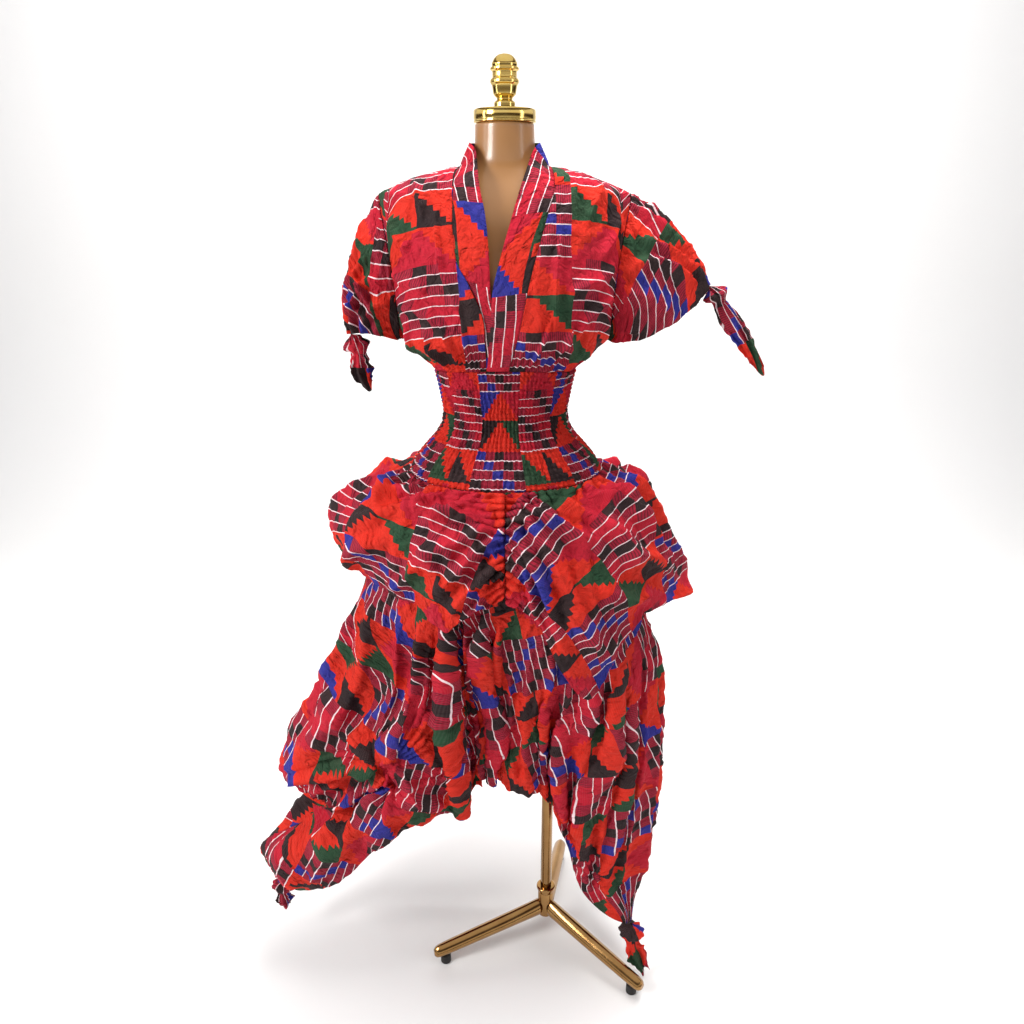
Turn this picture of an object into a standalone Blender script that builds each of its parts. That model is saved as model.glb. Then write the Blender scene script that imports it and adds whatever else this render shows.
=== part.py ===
# Handkerchief dress in printed cotton, worn by a limbless dress form on a tripod stand.
# Metres, +Z up, front at -Y, floor at Z = 0. Left and right are as seen from the front, +X is right.

import math

import bmesh
import bpy
import numpy as np

# Driving sizes of the whole object
GAP = 0.0003
CLOTH = 0.0015
ORIGIN_X = 0.0425
ORIGIN_Y = -0.0293
WAIST_BOTTOM = 1.105
WAIST_TOP = 1.2872
WAIST_DIP = 0.013
SHOULDER_Z = 1.572
UNDERARM_Z = 1.345
NECK_SEAM_Z = 1.612
SHOULDER_CROWN = 0.006
SHOULDER_NECK_X = 0.072

# Stand
POLE_X = 0.0868
POLE_RADIUS = 0.012
COLLAR_RADIUS = 0.0205
COLLAR_BOTTOM = 0.131
COLLAR_TOP = 0.139
HUB_RADIUS = 0.017
HUB_BOTTOM = 0.055
HUB_TAPER = 0.008
LEG_LENGTH = 0.258
LEG_ROOT_Z = 0.087
LEG_END_Z = 0.032
LEG_ANGLES = {"leg_left": 199.0, "leg_right": -41.0, "leg_back": 79.0}
# Leg: share of the length, half width, half height
LEG_SECTIONS = (
    (0.0, 0.0160, 0.0200), (0.25, 0.0165, 0.0175), (0.70, 0.0155, 0.0155), (0.94, 0.0140, 0.0140),
    (0.98, 0.0120, 0.0115), (1.0, 0.0070, 0.0070),
)
LEG_SIDES = 12
FOOT_RADIUS = 0.011
FOOT_SHARE = 0.9
LEG_FOOT_DROP = 0.0161
STAND_BEVEL = 0.0015

# Form: height, half width, half depth of each level section
FORM_SECTIONS = (
    (0.985, 0.118, 0.094),
    (0.995, 0.136, 0.109),
    (1.030, 0.154, 0.125),
    (1.070, 0.164, 0.135),
    (1.105, 0.1680, 0.1400),
    (1.118, 0.1625, 0.1355),
    (1.130, 0.1555, 0.1295),
    (1.150, 0.139, 0.117),
    (1.170, 0.1205, 0.1035),
    (1.190, 0.1080, 0.0930),
    (1.216, 0.1040, 0.0895),
    (1.257, 0.1110, 0.097),
    (1.287, 0.1180, 0.103),
    (1.330, 0.133, 0.112),
    (1.380, 0.148, 0.119),
    (1.430, 0.156, 0.120),
    (1.480, 0.163, 0.110),
    (1.530, 0.168, 0.094),
    (1.560, 0.158, 0.079),
    (1.582, 0.120, 0.066),
    (1.598, 0.080, 0.057),
    (1.616, 0.056, 0.0505),
    (1.634, 0.0495, 0.0485),
    (1.676, 0.0475, 0.0475),
)

FORM_SIDES = 24

# Cap and finial
CAP_RADIUS = 0.050
CAP_BOTTOM = 1.6763
CAP_TOP = 1.697
CAP_BEVEL = 0.002
# Finial profile: radius, height
FINIAL_PROFILE = (
    (0.0000, 1.7760), (0.0095, 1.7740), (0.0170, 1.7680), (0.0205, 1.7600), (0.0200, 1.7565),
    (0.0230, 1.7550), (0.0230, 1.7525), (0.0195, 1.7490), (0.0195, 1.7430), (0.0230, 1.7375),
    (0.0230, 1.7345), (0.0203, 1.7300), (0.0180, 1.7180), (0.0125, 1.7115), (0.0170, 1.7060),
    (0.0170, 1.7000), (0.0140, 1.6973), (0.0000, 1.6973),
)

# Bodice: half width of the front and back surface at each height, where they meet
BODICE_WIDTH = (
    (1.2875, 0.1220), (1.3020, 0.1410), (1.3200, 0.1560), (1.3450, 0.1730), (1.3600, 0.1830),
    (1.4000, 0.1980), (1.4500, 0.2080), (1.5000, 0.2120), (1.5400, 0.2100), (1.5720, 0.2055),
    (1.5862, 0.1740), (1.5980, 0.1410), (1.6062, 0.1080), (1.6120, 0.0740), (1.6320, 0.0655),
    (1.6480, 0.0580), (1.6600, 0.0545),
)
# Bodice: height, depth of the front, depth of the back
BODICE_DEPTH = (
    (1.2875, 0.112, 0.108), (1.3200, 0.130, 0.124), (1.3600, 0.142, 0.134), (1.4200, 0.145, 0.138),
    (1.4800, 0.138, 0.134), (1.5300, 0.124, 0.120), (1.5700, 0.106, 0.102), (1.6000, 0.086, 0.082),
    (1.6200, 0.068, 0.066), (1.6360, 0.058, 0.058), (1.6600, 0.052, 0.052),
)
# Side seam and armhole: height, distance from the middle
ARMHOLE = (
    (1.2875, 0.1220), (1.3020, 0.1410), (1.3200, 0.1560), (1.3450, 0.1730), (1.4000, 0.1760),
    (1.4500, 0.1800), (1.5000, 0.1880), (1.5400, 0.1970), (1.5720, 0.2050),
)
SECTION_POWER = 2.2
BODICE_ROWS = 12
ROW_CROWDING = 1.7
BACK_COLUMNS = 17
BACK_NECK_DROP = 0.012
SEAM_LEVEL = 0.004
# How far the gathered lower edge stands off the form: panels, and neck bands over them
TUCK_PANEL = 0.0037
TUCK_BAND = 0.0062
BODICE_GATHERS = 7
BODICE_GATHER_DEPTH = 0.0035

# Neck band, waist to shoulder: free edge x and z, seam x and z
BAND_RIGHT = (
    (-0.029, 1.3010, 0.006, 1.3010),
    (-0.022, 1.373, 0.024, 1.372),
    (-0.019, 1.424, 0.036, 1.432),
    (-0.008, 1.472, 0.050, 1.487),
    (0.008, 1.527, 0.064, 1.535),
    (0.028, 1.590, 0.077, 1.582),
    (0.046, 1.636, 0.075, 1.604),
    (0.0560, 1.6480, 0.0720, 1.612),
)
BAND_LEFT = (
    (-0.002, 1.3010, -0.030, 1.3010),
    (-0.008, 1.373, -0.031, 1.373),
    (-0.021, 1.424, -0.053, 1.436),
    (-0.023, 1.475, -0.074, 1.478),
    (-0.028, 1.533, -0.079, 1.535),
    (-0.038, 1.583, -0.078, 1.582),
    (-0.046, 1.636, -0.075, 1.604),
    (-0.0560, 1.6480, -0.0720, 1.612),
)
LAP_INSET = 0.0032
LAP_TOP = 1.47
LAP_FADE = 0.05

# Sleeves: four guide points (top, front, underarm, back) of the middle and of the cuff
SLEEVE_GUIDES = {
    "sleeve_right": (
        ((0.270, 0.000, 1.529), (0.238, -0.088, 1.435), (0.174, 0.000, 1.338), (0.238, 0.088, 1.440)),
        ((0.342, -0.008, 1.428), (0.262, -0.062, 1.362), (0.184, 0.000, 1.336), (0.262, 0.066, 1.366)),
    ),
    "sleeve_left": (
        ((-0.257, 0.000, 1.490), (-0.226, -0.085, 1.430), (-0.172, 0.000, 1.340), (-0.226, 0.085, 1.435)),
        ((-0.264, -0.010, 1.350), (-0.228, -0.058, 1.354), (-0.188, 0.000, 1.340), (-0.226, 0.060, 1.358)),
    ),
}
SLEEVE_ROWS = 8
SLEEVE_START = 0.006
SLEEVE_PLEATS = 9
SLEEVE_PLEAT_DEPTH = 0.004

KNOT_SIDES = 12
# Knots and tails: x, y, z of the centre, half width, half thickness
KNOTS = {
    "sleeve_knot_right": (
        (0.3425, -0.008, 1.4270, 0.0030, 0.0030), (0.3470, -0.009, 1.4220, 0.0140, 0.0130),
        (0.3550, -0.010, 1.4120, 0.0190, 0.0170), (0.3625, -0.011, 1.4010, 0.0125, 0.0110),
        (0.3700, -0.012, 1.3880, 0.0145, 0.0080), (0.3800, -0.013, 1.3740, 0.0180, 0.0070),
        (0.3960, -0.014, 1.3540, 0.0190, 0.0065), (0.4130, -0.015, 1.3320, 0.0150, 0.0060),
        (0.4280, -0.015, 1.3090, 0.0100, 0.0050), (0.4390, -0.015, 1.2880, 0.0045, 0.0030),
    ),
    "sleeve_knot_left": (
        (-0.2640, -0.011, 1.3480, 0.0030, 0.0030), (-0.2610, -0.012, 1.3410, 0.0150, 0.0130),
        (-0.2560, -0.013, 1.3280, 0.0200, 0.0170), (-0.2520, -0.014, 1.3150, 0.0150, 0.0110),
        (-0.2500, -0.015, 1.3000, 0.0165, 0.0080), (-0.2480, -0.016, 1.2840, 0.0180, 0.0070),
        (-0.2430, -0.016, 1.2690, 0.0140, 0.0055), (-0.2380, -0.016, 1.2570, 0.0060, 0.0035),
    ),
    "skirt_knot_left": (
        (-0.4920, -0.008, 0.1600, 0.0170, 0.0150), (-0.4925, -0.009, 0.1480, 0.0215, 0.0190),
        (-0.4935, -0.010, 0.1350, 0.0190, 0.0160), (-0.4930, -0.011, 0.1250, 0.0120, 0.0100),
        (-0.4925, -0.013, 0.1130, 0.0170, 0.0080), (-0.4900, -0.015, 0.1010, 0.0150, 0.0060),
        (-0.4870, -0.016, 0.0920, 0.0050, 0.0030),
    ),
    "skirt_knot_right": (
        (0.2620, -0.110, 0.1400, 0.0170, 0.0150), (0.2625, -0.111, 0.1280, 0.0230, 0.0210),
        (0.2640, -0.112, 0.1120, 0.0230, 0.0190), (0.2660, -0.113, 0.0970, 0.0140, 0.0120),
        (0.2700, -0.115, 0.0800, 0.0180, 0.0090), (0.2780, -0.118, 0.0600, 0.0200, 0.0070),
        (0.2880, -0.122, 0.0400, 0.0140, 0.0050), (0.2950, -0.125, 0.0250, 0.0050, 0.0030),
    ),
}

# Overskirt: angle round the body (front is -90, right 0), then reach and height
# of its crown, its swell and its hem
OVERSKIRT_LEFT = (
    (-270.0, 0.215, 1.070, 0.270, 0.975, 0.262, 0.880),
    (-240.0, 0.225, 1.072, 0.292, 0.975, 0.268, 0.862),
    (-210.0, 0.240, 1.075, 0.312, 0.985, 0.280, 0.880),
    (-185.0, 0.240, 1.080, 0.328, 0.985, 0.285, 0.905),
    (-165.0, 0.227, 1.080, 0.297, 0.993, 0.262, 0.915),
    (-150.0, 0.205, 1.078, 0.246, 0.999, 0.232, 0.905),
    (-135.0, 0.184, 1.075, 0.219, 0.984, 0.212, 0.897),
    (-120.0, 0.174, 1.068, 0.205, 0.976, 0.205, 0.868),
    (-106.0, 0.168, 1.062, 0.190, 0.980, 0.198, 0.905),
    (-90.0, 0.160, 1.055, 0.174, 0.995, 0.184, 0.935),
)
OVERSKIRT_RIGHT = (
    (-90.0, 0.160, 1.055, 0.174, 0.995, 0.184, 0.925),
    (-76.0, 0.175, 1.065, 0.205, 0.990, 0.205, 0.895),
    (-65.0, 0.184, 1.065, 0.222, 0.952, 0.240, 0.795),
    (-55.0, 0.189, 1.063, 0.238, 0.931, 0.252, 0.748),
    (-40.0, 0.209, 1.071, 0.258, 0.963, 0.268, 0.835),
    (-28.0, 0.220, 1.078, 0.268, 0.965, 0.278, 0.872),
    (-12.0, 0.232, 1.080, 0.288, 0.956, 0.318, 0.862),
    (0.0, 0.238, 1.078, 0.300, 0.956, 0.357, 0.858),
    (20.0, 0.244, 1.075, 0.312, 0.950, 0.338, 0.840),
    (50.0, 0.228, 1.070, 0.292, 0.955, 0.300, 0.830),
    (90.0, 0.215, 1.070, 0.270, 0.975, 0.262, 0.880),
)
# Skirt: angle, then reach and height at hip, thigh, knee, tuck, shin and hem
SKIRT = (
    (-180.0, 0.265, 0.900, 0.346, 0.705, 0.474, 0.468, 0.382, 0.356, 0.530, 0.252, 0.505, 0.176),
    (-172.0, 0.258, 0.900, 0.330, 0.715, 0.452, 0.490, 0.368, 0.385, 0.496, 0.275, 0.458, 0.176),
    (-160.0, 0.236, 0.900, 0.276, 0.720, 0.348, 0.560, 0.322, 0.460, 0.394, 0.355, 0.372, 0.262),
    (-145.0, 0.206, 0.900, 0.228, 0.740, 0.290, 0.600, 0.262, 0.525, 0.290, 0.460, 0.262, 0.400),
    (-130.0, 0.186, 0.905, 0.198, 0.760, 0.232, 0.640, 0.222, 0.560, 0.214, 0.500, 0.190, 0.450),
    (-122.0, 0.178, 0.910, 0.184, 0.780, 0.190, 0.670, 0.186, 0.590, 0.176, 0.510, 0.160, 0.430),
    (-112.0, 0.164, 0.910, 0.142, 0.790, 0.122, 0.700, 0.118, 0.640, 0.118, 0.580, 0.116, 0.520),
    (-92.0, 0.160, 0.915, 0.150, 0.800, 0.138, 0.710, 0.134, 0.640, 0.132, 0.570, 0.130, 0.500),
    (-70.0, 0.170, 0.910, 0.160, 0.790, 0.146, 0.690, 0.142, 0.620, 0.140, 0.550, 0.138, 0.485),
    (-50.0, 0.190, 0.900, 0.200, 0.760, 0.178, 0.640, 0.160, 0.560, 0.150, 0.500, 0.146, 0.440),
    (-39.0, 0.208, 0.890, 0.234, 0.730, 0.220, 0.590, 0.196, 0.480, 0.180, 0.370, 0.176, 0.265),
    (-31.0, 0.215, 0.885, 0.252, 0.725, 0.248, 0.560, 0.228, 0.420, 0.212, 0.290, 0.212, 0.170),
    (-22.0, 0.225, 0.880, 0.268, 0.720, 0.276, 0.540, 0.264, 0.390, 0.250, 0.260, 0.250, 0.140),
    (-10.0, 0.236, 0.880, 0.284, 0.710, 0.294, 0.500, 0.290, 0.350, 0.282, 0.225, 0.276, 0.130),
    (3.0, 0.240, 0.880, 0.286, 0.710, 0.293, 0.520, 0.291, 0.380, 0.286, 0.250, 0.280, 0.145),
    (18.0, 0.236, 0.880, 0.278, 0.720, 0.282, 0.560, 0.274, 0.430, 0.262, 0.320, 0.252, 0.225),
    (40.0, 0.222, 0.890, 0.256, 0.740, 0.258, 0.610, 0.250, 0.510, 0.242, 0.420, 0.234, 0.340),
    (70.0, 0.208, 0.900, 0.226, 0.760, 0.228, 0.650, 0.222, 0.560, 0.216, 0.480, 0.210, 0.405),
    (100.0, 0.205, 0.900, 0.228, 0.760, 0.234, 0.650, 0.224, 0.560, 0.220, 0.490, 0.214, 0.415),
    (130.0, 0.212, 0.900, 0.252, 0.745, 0.272, 0.620, 0.254, 0.530, 0.262, 0.440, 0.248, 0.360),
    (158.0, 0.236, 0.900, 0.296, 0.720, 0.372, 0.550, 0.322, 0.440, 0.396, 0.340, 0.372, 0.262),
    (180.0, 0.265, 0.900, 0.346, 0.705, 0.474, 0.468, 0.382, 0.356, 0.530, 0.252, 0.505, 0.176),
)
# Where each long corner of the skirt is tied: centre x, y, height of the tie, height where the pull starts
TIE_RIGHT = (0.262, -0.110, 0.140, 0.250)
TIE_LEFT = (-0.492, -0.008, 0.160, 0.250)
TIE_REACH = 0.30
TIE_SQUEEZE = 0.2
TIE_CLEARANCE = 0.001

SEAM_DEGREES = 0.12
OVERSKIRT_ROWS = 8
OVERSKIRT_STAND_OFF = 0.0045
SKIRT_ROWS = 13
SKIRT_STAND_OFF = 0.0022
OVERSKIRT_GATHERS = 13
OVERSKIRT_GATHER_DEPTH = 0.006
SKIRT_GATHERS = 10
SKIRT_GATHER_DEPTH = 0.006
FOLD_COUNT = 11
FOLD_DEPTH = 0.009
FOLD_LEAN = 1.6

# Shirred waist
WAIST_TUCKS = 18
WAIST_ROWS = 7
WAIST_SEAM_ANGLE = 0.0025
WAIST_BASE = 0.0020
WAIST_PUFF = 0.0018
WAIST_CLEARANCE = 0.0009

PRINT_RED = (0.52, 0.02, 0.05, 1.0)
PRINT_ORANGE = (0.75, 0.03, 0.02, 1.0)
FORM_BROWN = (0.38, 0.19, 0.08, 1.0)
CAP_GOLD = (0.80, 0.55, 0.18, 1.0)
STAND_BRONZE = (0.45, 0.26, 0.10, 1.0)

for old in list(bpy.data.objects):
    bpy.data.objects.remove(old, do_unlink=True)

collection = bpy.data.collections.new("handkerchief_dress")
bpy.context.scene.collection.children.link(collection)


def finish(name, colour, roughness, metallic):
    material = bpy.data.materials.new(name)
    material.use_nodes = True
    shader = material.node_tree.nodes["Principled BSDF"]
    shader.inputs["Base Color"].default_value = colour
    shader.inputs["Roughness"].default_value = roughness
    shader.inputs["Metallic"].default_value = metallic
    return material


def smooth(table, column, at):
    """Reads one column of a table at the given keys, along a curve that never overshoots its rows."""
    keys = np.array([row[0] for row in table])
    values = np.array([row[column] for row in table])
    at = np.clip(np.asarray(at, dtype=float), keys[0], keys[-1])
    step = np.diff(keys)
    rise = np.diff(values) / step
    slope = np.zeros(len(keys))
    slope[0] = rise[0]
    slope[-1] = rise[-1]
    for i in range(1, len(keys) - 1):
        if rise[i - 1] * rise[i] > 0:
            near = 2 * step[i] + step[i - 1]
            far = step[i] + 2 * step[i - 1]
            slope[i] = (near + far) / (near / rise[i - 1] + far / rise[i])
    k = np.clip(np.searchsorted(keys, at, side="right") - 1, 0, len(step) - 1)
    s = (at - keys[k]) / step[k]
    return (
        values[k] * (1 + 2 * s) * (1 - s) ** 2
        + step[k] * slope[k] * s * (1 - s) ** 2
        + values[k + 1] * s * s * (3 - 2 * s)
        + step[k] * slope[k + 1] * s * s * (s - 1)
    )


def ease(value):
    value = np.clip(value, 0.0, 1.0)
    return value * value * (3 - 2 * value)


def link_mesh(name, points, faces, material):
    mesh = bpy.data.meshes.new(name)
    shifted = [(p[0] + ORIGIN_X, p[1] + ORIGIN_Y, p[2]) for p in points]
    mesh.from_pydata(shifted, [], faces)
    mesh.update()
    obj = bpy.data.objects.new(name, mesh)
    collection.objects.link(obj)
    mesh.materials.append(material)
    return obj


def grid_faces(rows, columns, closed):
    faces = []
    last = columns if closed else columns - 1
    for i in range(rows - 1):
        for j in range(last):
            k = (j + 1) % columns
            faces.append((i * columns + j, i * columns + k, (i + 1) * columns + k, (i + 1) * columns + j))
    return faces


def outward_sign(grid, faces, centres):
    """Says whether the faces of a grid look away from the centre of each row."""
    points = grid.reshape(-1, 3)
    middles = np.repeat(centres, grid.shape[1], axis=0)
    total = 0.0
    for a, b, c, d in faces:
        normal = np.cross(points[c] - points[a], points[d] - points[b])
        total += float(np.dot(normal, points[a] - middles[a]))
    return total


def cloth_wall(name, grid, material, closed=False, centres=None):
    """A sheet of cloth from rows of points on its outer side, given its thickness inwards."""
    rows, columns = grid.shape[:2]
    faces = grid_faces(rows, columns, closed)
    if centres is None:
        centres = np.stack([np.array([0.0, 0.0, grid[i, :, 2].mean()]) for i in range(rows)])
    if outward_sign(grid, faces, centres) < 0:
        faces = [face[::-1] for face in faces]
    obj = link_mesh(name, grid.reshape(-1, 3), faces, material)
    wall = obj.modifiers.new("cloth thickness", "SOLIDIFY")
    wall.thickness = CLOTH
    wall.offset = -1.0
    wall.use_rim = True
    return obj


def closed_loft(name, rings, material, smooth_shade=True):
    """A closed solid through rings of the same number of points, capped at both ends."""
    rows, columns = rings.shape[:2]
    faces = grid_faces(rows, columns, True)
    faces.append(tuple(range(columns)))
    faces.append(tuple((rows - 1) * columns + j for j in reversed(range(columns))))
    obj = link_mesh(name, rings.reshape(-1, 3), faces, material)
    body = bmesh.new()
    body.from_mesh(obj.data)
    bmesh.ops.recalc_face_normals(body, faces=body.faces)
    body.to_mesh(obj.data)
    body.free()
    if smooth_shade:
        obj.data.shade_smooth()
    return obj


def turned(name, profile, x, material, steps=24):
    """A turned piece: a profile of radius and height, spun round an upright axis."""
    mesh = bpy.data.meshes.new(name)
    mesh.from_pydata([(r, 0.0, z) for r, z in profile], [(i, i + 1) for i in range(len(profile) - 1)], [])
    obj = bpy.data.objects.new(name, mesh)
    obj.location = (x + ORIGIN_X, ORIGIN_Y, 0.0)
    collection.objects.link(obj)
    spin = obj.modifiers.new("turned", "SCREW")
    spin.axis = "Z"
    spin.steps = steps
    spin.render_steps = steps
    spin.use_merge_vertices = True
    spin.merge_threshold = 0.00005
    spin.use_smooth_shade = True
    mesh.materials.append(material)
    return obj


def oval(half_width, half_depth, angles):
    return half_width * np.cos(angles), half_depth * np.sin(angles)


def form_size(z):
    """Half width and half depth of the form at a height."""
    heights = [row[0] for row in FORM_SECTIONS]
    half_width = np.interp(z, heights, [row[1] for row in FORM_SECTIONS])
    return half_width, np.interp(z, heights, [row[2] for row in FORM_SECTIONS])


def front_depth(x, z, side):
    """Distance of the bodice surface from the middle plane: side -1 is the front, 1 the back."""
    shoulder = np.interp(z, [row[0] for row in BODICE_WIDTH], [row[1] for row in BODICE_WIDTH])
    width = np.where(np.asarray(z) > SHOULDER_Z, shoulder, smooth(BODICE_WIDTH, 1, z))
    depth = smooth(BODICE_DEPTH, 1 if side < 0 else 2, z)
    share = np.clip(np.abs(x) / width, 0.0, 1.0)
    return side * depth * np.sqrt(1 - share ** SECTION_POWER)


def waist_depth(x, z, stand_off):
    """Distance from the middle plane of a surface that stands off the form at the waist."""
    half_width, half_depth = form_size(z)
    return (half_depth + stand_off) * np.sqrt(np.clip(1 - (x / (half_width + stand_off)) ** 2, 0.0, 1.0))


def waist_dip(x):
    """The waist seam climbs a little towards the middle of the front."""
    return WAIST_DIP * np.clip(1 - (x / 0.122) ** 2, 0.0, 1.0)


def make_form(material):
    angles = np.linspace(0, 2 * math.pi, FORM_SIDES, endpoint=False)
    rings = []
    for height, half_width, half_depth in FORM_SECTIONS:
        x, y = oval(half_width, half_depth, angles)
        rings.append(np.stack([x, y, np.full_like(x, height)], axis=1))
    closed_loft("form_torso", np.array(rings), material)


def make_cap_and_finial(material):
    bevel = CAP_BEVEL
    turned(
        "neck_cap",
        (
            (0.0, CAP_TOP), (CAP_RADIUS - bevel, CAP_TOP), (CAP_RADIUS, CAP_TOP - bevel),
            (CAP_RADIUS, CAP_BOTTOM + bevel), (CAP_RADIUS - bevel, CAP_BOTTOM), (0.0, CAP_BOTTOM),
        ),
        0.0,
        material,
        28,
    )
    turned("finial", FINIAL_PROFILE, 0.0, material, 18)


def make_stand(material):
    top = FORM_SECTIONS[0][0] - GAP
    turned(
        "pole",
        ((0.0, top), (POLE_RADIUS, top), (POLE_RADIUS, COLLAR_TOP + GAP), (0.0, COLLAR_TOP + GAP)),
        POLE_X,
        material,
        16,
    )
    edge = STAND_BEVEL
    turned(
        "stand_collar",
        (
            (0.0, COLLAR_TOP), (COLLAR_RADIUS - edge, COLLAR_TOP), (COLLAR_RADIUS, COLLAR_TOP - edge),
            (COLLAR_RADIUS, COLLAR_BOTTOM + edge), (COLLAR_RADIUS - edge, COLLAR_BOTTOM), (0.0, COLLAR_BOTTOM),
        ),
        POLE_X,
        material,
        20,
    )
    hub_top = COLLAR_BOTTOM - GAP
    turned(
        "stand_hub",
        (
            (0.0, hub_top), (HUB_RADIUS, hub_top), (HUB_RADIUS, HUB_BOTTOM + HUB_TAPER),
            (HUB_RADIUS - HUB_TAPER, HUB_BOTTOM), (0.0, HUB_BOTTOM),
        ),
        POLE_X,
        material,
        20,
    )
    for name, degrees in LEG_ANGLES.items():
        make_leg(name, math.radians(degrees), material)
        make_foot(name.replace("leg", "foot"), math.radians(degrees), material)


def leg_place(distance):
    """Height of a leg's axis at a distance from the pole."""
    share = distance / LEG_LENGTH
    return LEG_ROOT_Z + (LEG_END_Z - LEG_ROOT_Z) * share


def make_leg(name, angle, material):
    sides = np.linspace(0, 2 * math.pi, LEG_SIDES, endpoint=False)
    out = np.array([math.cos(angle), math.sin(angle), 0.0])
    across = np.array([-math.sin(angle), math.cos(angle), 0.0])
    start = HUB_RADIUS + GAP
    rings = []
    for share, half_width, half_height in LEG_SECTIONS:
        distance = start + (LEG_LENGTH - start) * share
        centre = np.array([POLE_X, 0.0, leg_place(distance)]) + out * distance
        ring = [
            centre + across * half_width * math.cos(a) + np.array([0, 0, half_height * math.sin(a)])
            for a in sides
        ]
        rings.append(ring)
    closed_loft(name, np.array(rings), material)


def foot_centre(angle):
    distance = LEG_LENGTH * FOOT_SHARE
    return POLE_X + math.cos(angle) * distance, math.sin(angle) * distance


def make_foot(name, angle, material):
    x, y = foot_centre(angle)
    top = leg_place(LEG_LENGTH * FOOT_SHARE) - LEG_FOOT_DROP - GAP
    edge = STAND_BEVEL
    obj = turned(
        name,
        (
            (0.0, top), (FOOT_RADIUS * 0.8, top), (FOOT_RADIUS, top - edge), (FOOT_RADIUS, edge),
            (FOOT_RADIUS - edge, 0.0), (0.0, 0.0),
        ),
        x,
        material,
        20,
    )
    obj.location.y += y


def bodice_steps():
    """Places of the rows from waist to shoulder, closer together where the shoulder turns over."""
    return 1 - (1 - np.linspace(0, 1, BODICE_ROWS)) ** ROW_CROWDING


def level_last_row(grid, side):
    """Adds a row just before the shoulder seam, so that both sides meet there in one level."""
    extra = grid[-1:].copy()
    extra[:, :, 1] += side * SEAM_LEVEL
    return np.concatenate([grid[:-1], extra, grid[-1:]])


def level_side(grid, side, first, last):
    """Adds a column beside each side seam, for the same reason."""
    def beside(edge, next_in):
        column = grid[:, edge:edge + 1].copy()
        share = np.where(column[:, :, 2:] < UNDERARM_Z, 1.0, 0.0)
        toward = (grid[:, next_in:next_in + 1] - column) * 0.1
        straight = np.zeros_like(column)
        straight[:, :, 1] = side * SEAM_LEVEL
        return column + straight * share + toward * (1 - share)

    parts = [grid]
    if last:
        parts = [grid[:, :-1], beside(grid.shape[1] - 1, grid.shape[1] - 2), grid[:, -1:]]
    if first:
        parts = [grid[:, :1], beside(0, 1), parts[0][:, 1:]] + parts[1:]
    return np.concatenate(parts, axis=1)


def band_rows(table, across_count, side_shift):
    """Points of a neck band between its free edge and its seam, on the bodice surface."""
    keyed = [(i / (len(table) - 1),) + row for i, row in enumerate(table)]
    v = bodice_steps()
    count = BODICE_ROWS
    edges = [smooth(keyed, c, v) for c in (1, 2, 3, 4)]
    grid = np.zeros((count, across_count, 3))
    for j, u in enumerate(np.linspace(0, 1, across_count)):
        x = edges[0] + (edges[2] - edges[0]) * u
        z = edges[1] + (edges[3] - edges[1]) * u
        y = front_depth(x, z, -1)
        grid[:, j] = np.stack([x, y, z], axis=1)
    grid[0, :, 1] = -waist_depth(grid[0, :, 0], grid[0, :, 2], TUCK_BAND)
    grid[:, :, 1] += side_shift * ease((LAP_TOP - grid[:, :, 2]) / LAP_FADE)
    grid[-1, :, 1] = -GAP / 2
    return level_last_row(grid, -1)


def make_bands(material):
    cloth_wall("neck_band_right", band_rows(BAND_RIGHT, 4, 0.0), material)
    cloth_wall("neck_band_left", band_rows(BAND_LEFT, 4, LAP_INSET), material)
    top = BAND_RIGHT[-1]
    angles = np.linspace(0, math.pi, 13)
    grid = np.zeros((3, 13, 3))
    for i, u in enumerate((0.0, 0.5, 1.0)):
        reach = top[0] + (top[2] - top[0]) * u
        height = top[1] + (top[3] - 0.0004 - top[1]) * u + 0.004 * np.sin(angles) * (1 - 2 * u)
        grid[i, :, 0] = reach * np.cos(angles)
        grid[i, :, 1] = reach * 0.97 * np.sin(angles) + GAP / 2
        grid[i, :, 2] = height
    cloth_wall("neck_band_back", grid, material)


def seam_line(table, v):
    keyed = [(i / (len(table) - 1),) + row for i, row in enumerate(table)]
    return smooth(keyed, 3, v), smooth(keyed, 4, v)


def armhole_x(z):
    return smooth(ARMHOLE, 1, z)


def make_front(name, table, side, material):
    """Front bodice panel from the band's seam to the armhole; side 1 is the wearer's left."""
    rows = BODICE_ROWS
    columns = 2 * BODICE_GATHERS + 1
    v = bodice_steps()
    u = np.linspace(0, 1, columns)
    seam_x, seam_z = seam_line(table, v)
    side_z = WAIST_TOP + (SHOULDER_Z - WAIST_TOP) * v + GAP
    side_x = side * (armhole_x(side_z) - GAP)
    seam_x = seam_x + side * 2 * GAP
    grid = np.zeros((rows, columns, 3))
    for j in range(columns):
        x = seam_x + (side_x - seam_x) * u[j]
        z = seam_z + (side_z - seam_z) * u[j] + SHOULDER_CROWN * math.sin(math.pi * u[j]) * v ** 3
        gather = (-1) ** j * BODICE_GATHER_DEPTH * math.sin(math.pi * u[j]) * (1 - v) ** 1.5
        y = front_depth(x, z, -1) - 0.5 * (gather + abs(gather))
        grid[:, j] = np.stack([x, y, z], axis=1)
    grid[0, :, 2] = np.maximum(grid[0, :, 2], WAIST_TOP + waist_dip(grid[0, :, 0]) + GAP)
    grid[0, :, 1] = -waist_depth(grid[0, :, 0], grid[0, :, 2], TUCK_PANEL)
    grid[:, :, 1] = np.minimum(grid[:, :, 1], -GAP / 2)
    grid[-1, :, 1] = -GAP / 2
    grid[:, -1, 1] = np.where(grid[:, -1, 2] < UNDERARM_Z, -GAP / 2, grid[:, -1, 1])
    grid = level_side(level_last_row(grid, -1), -1, False, True)
    cloth_wall(name, grid, material)


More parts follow.
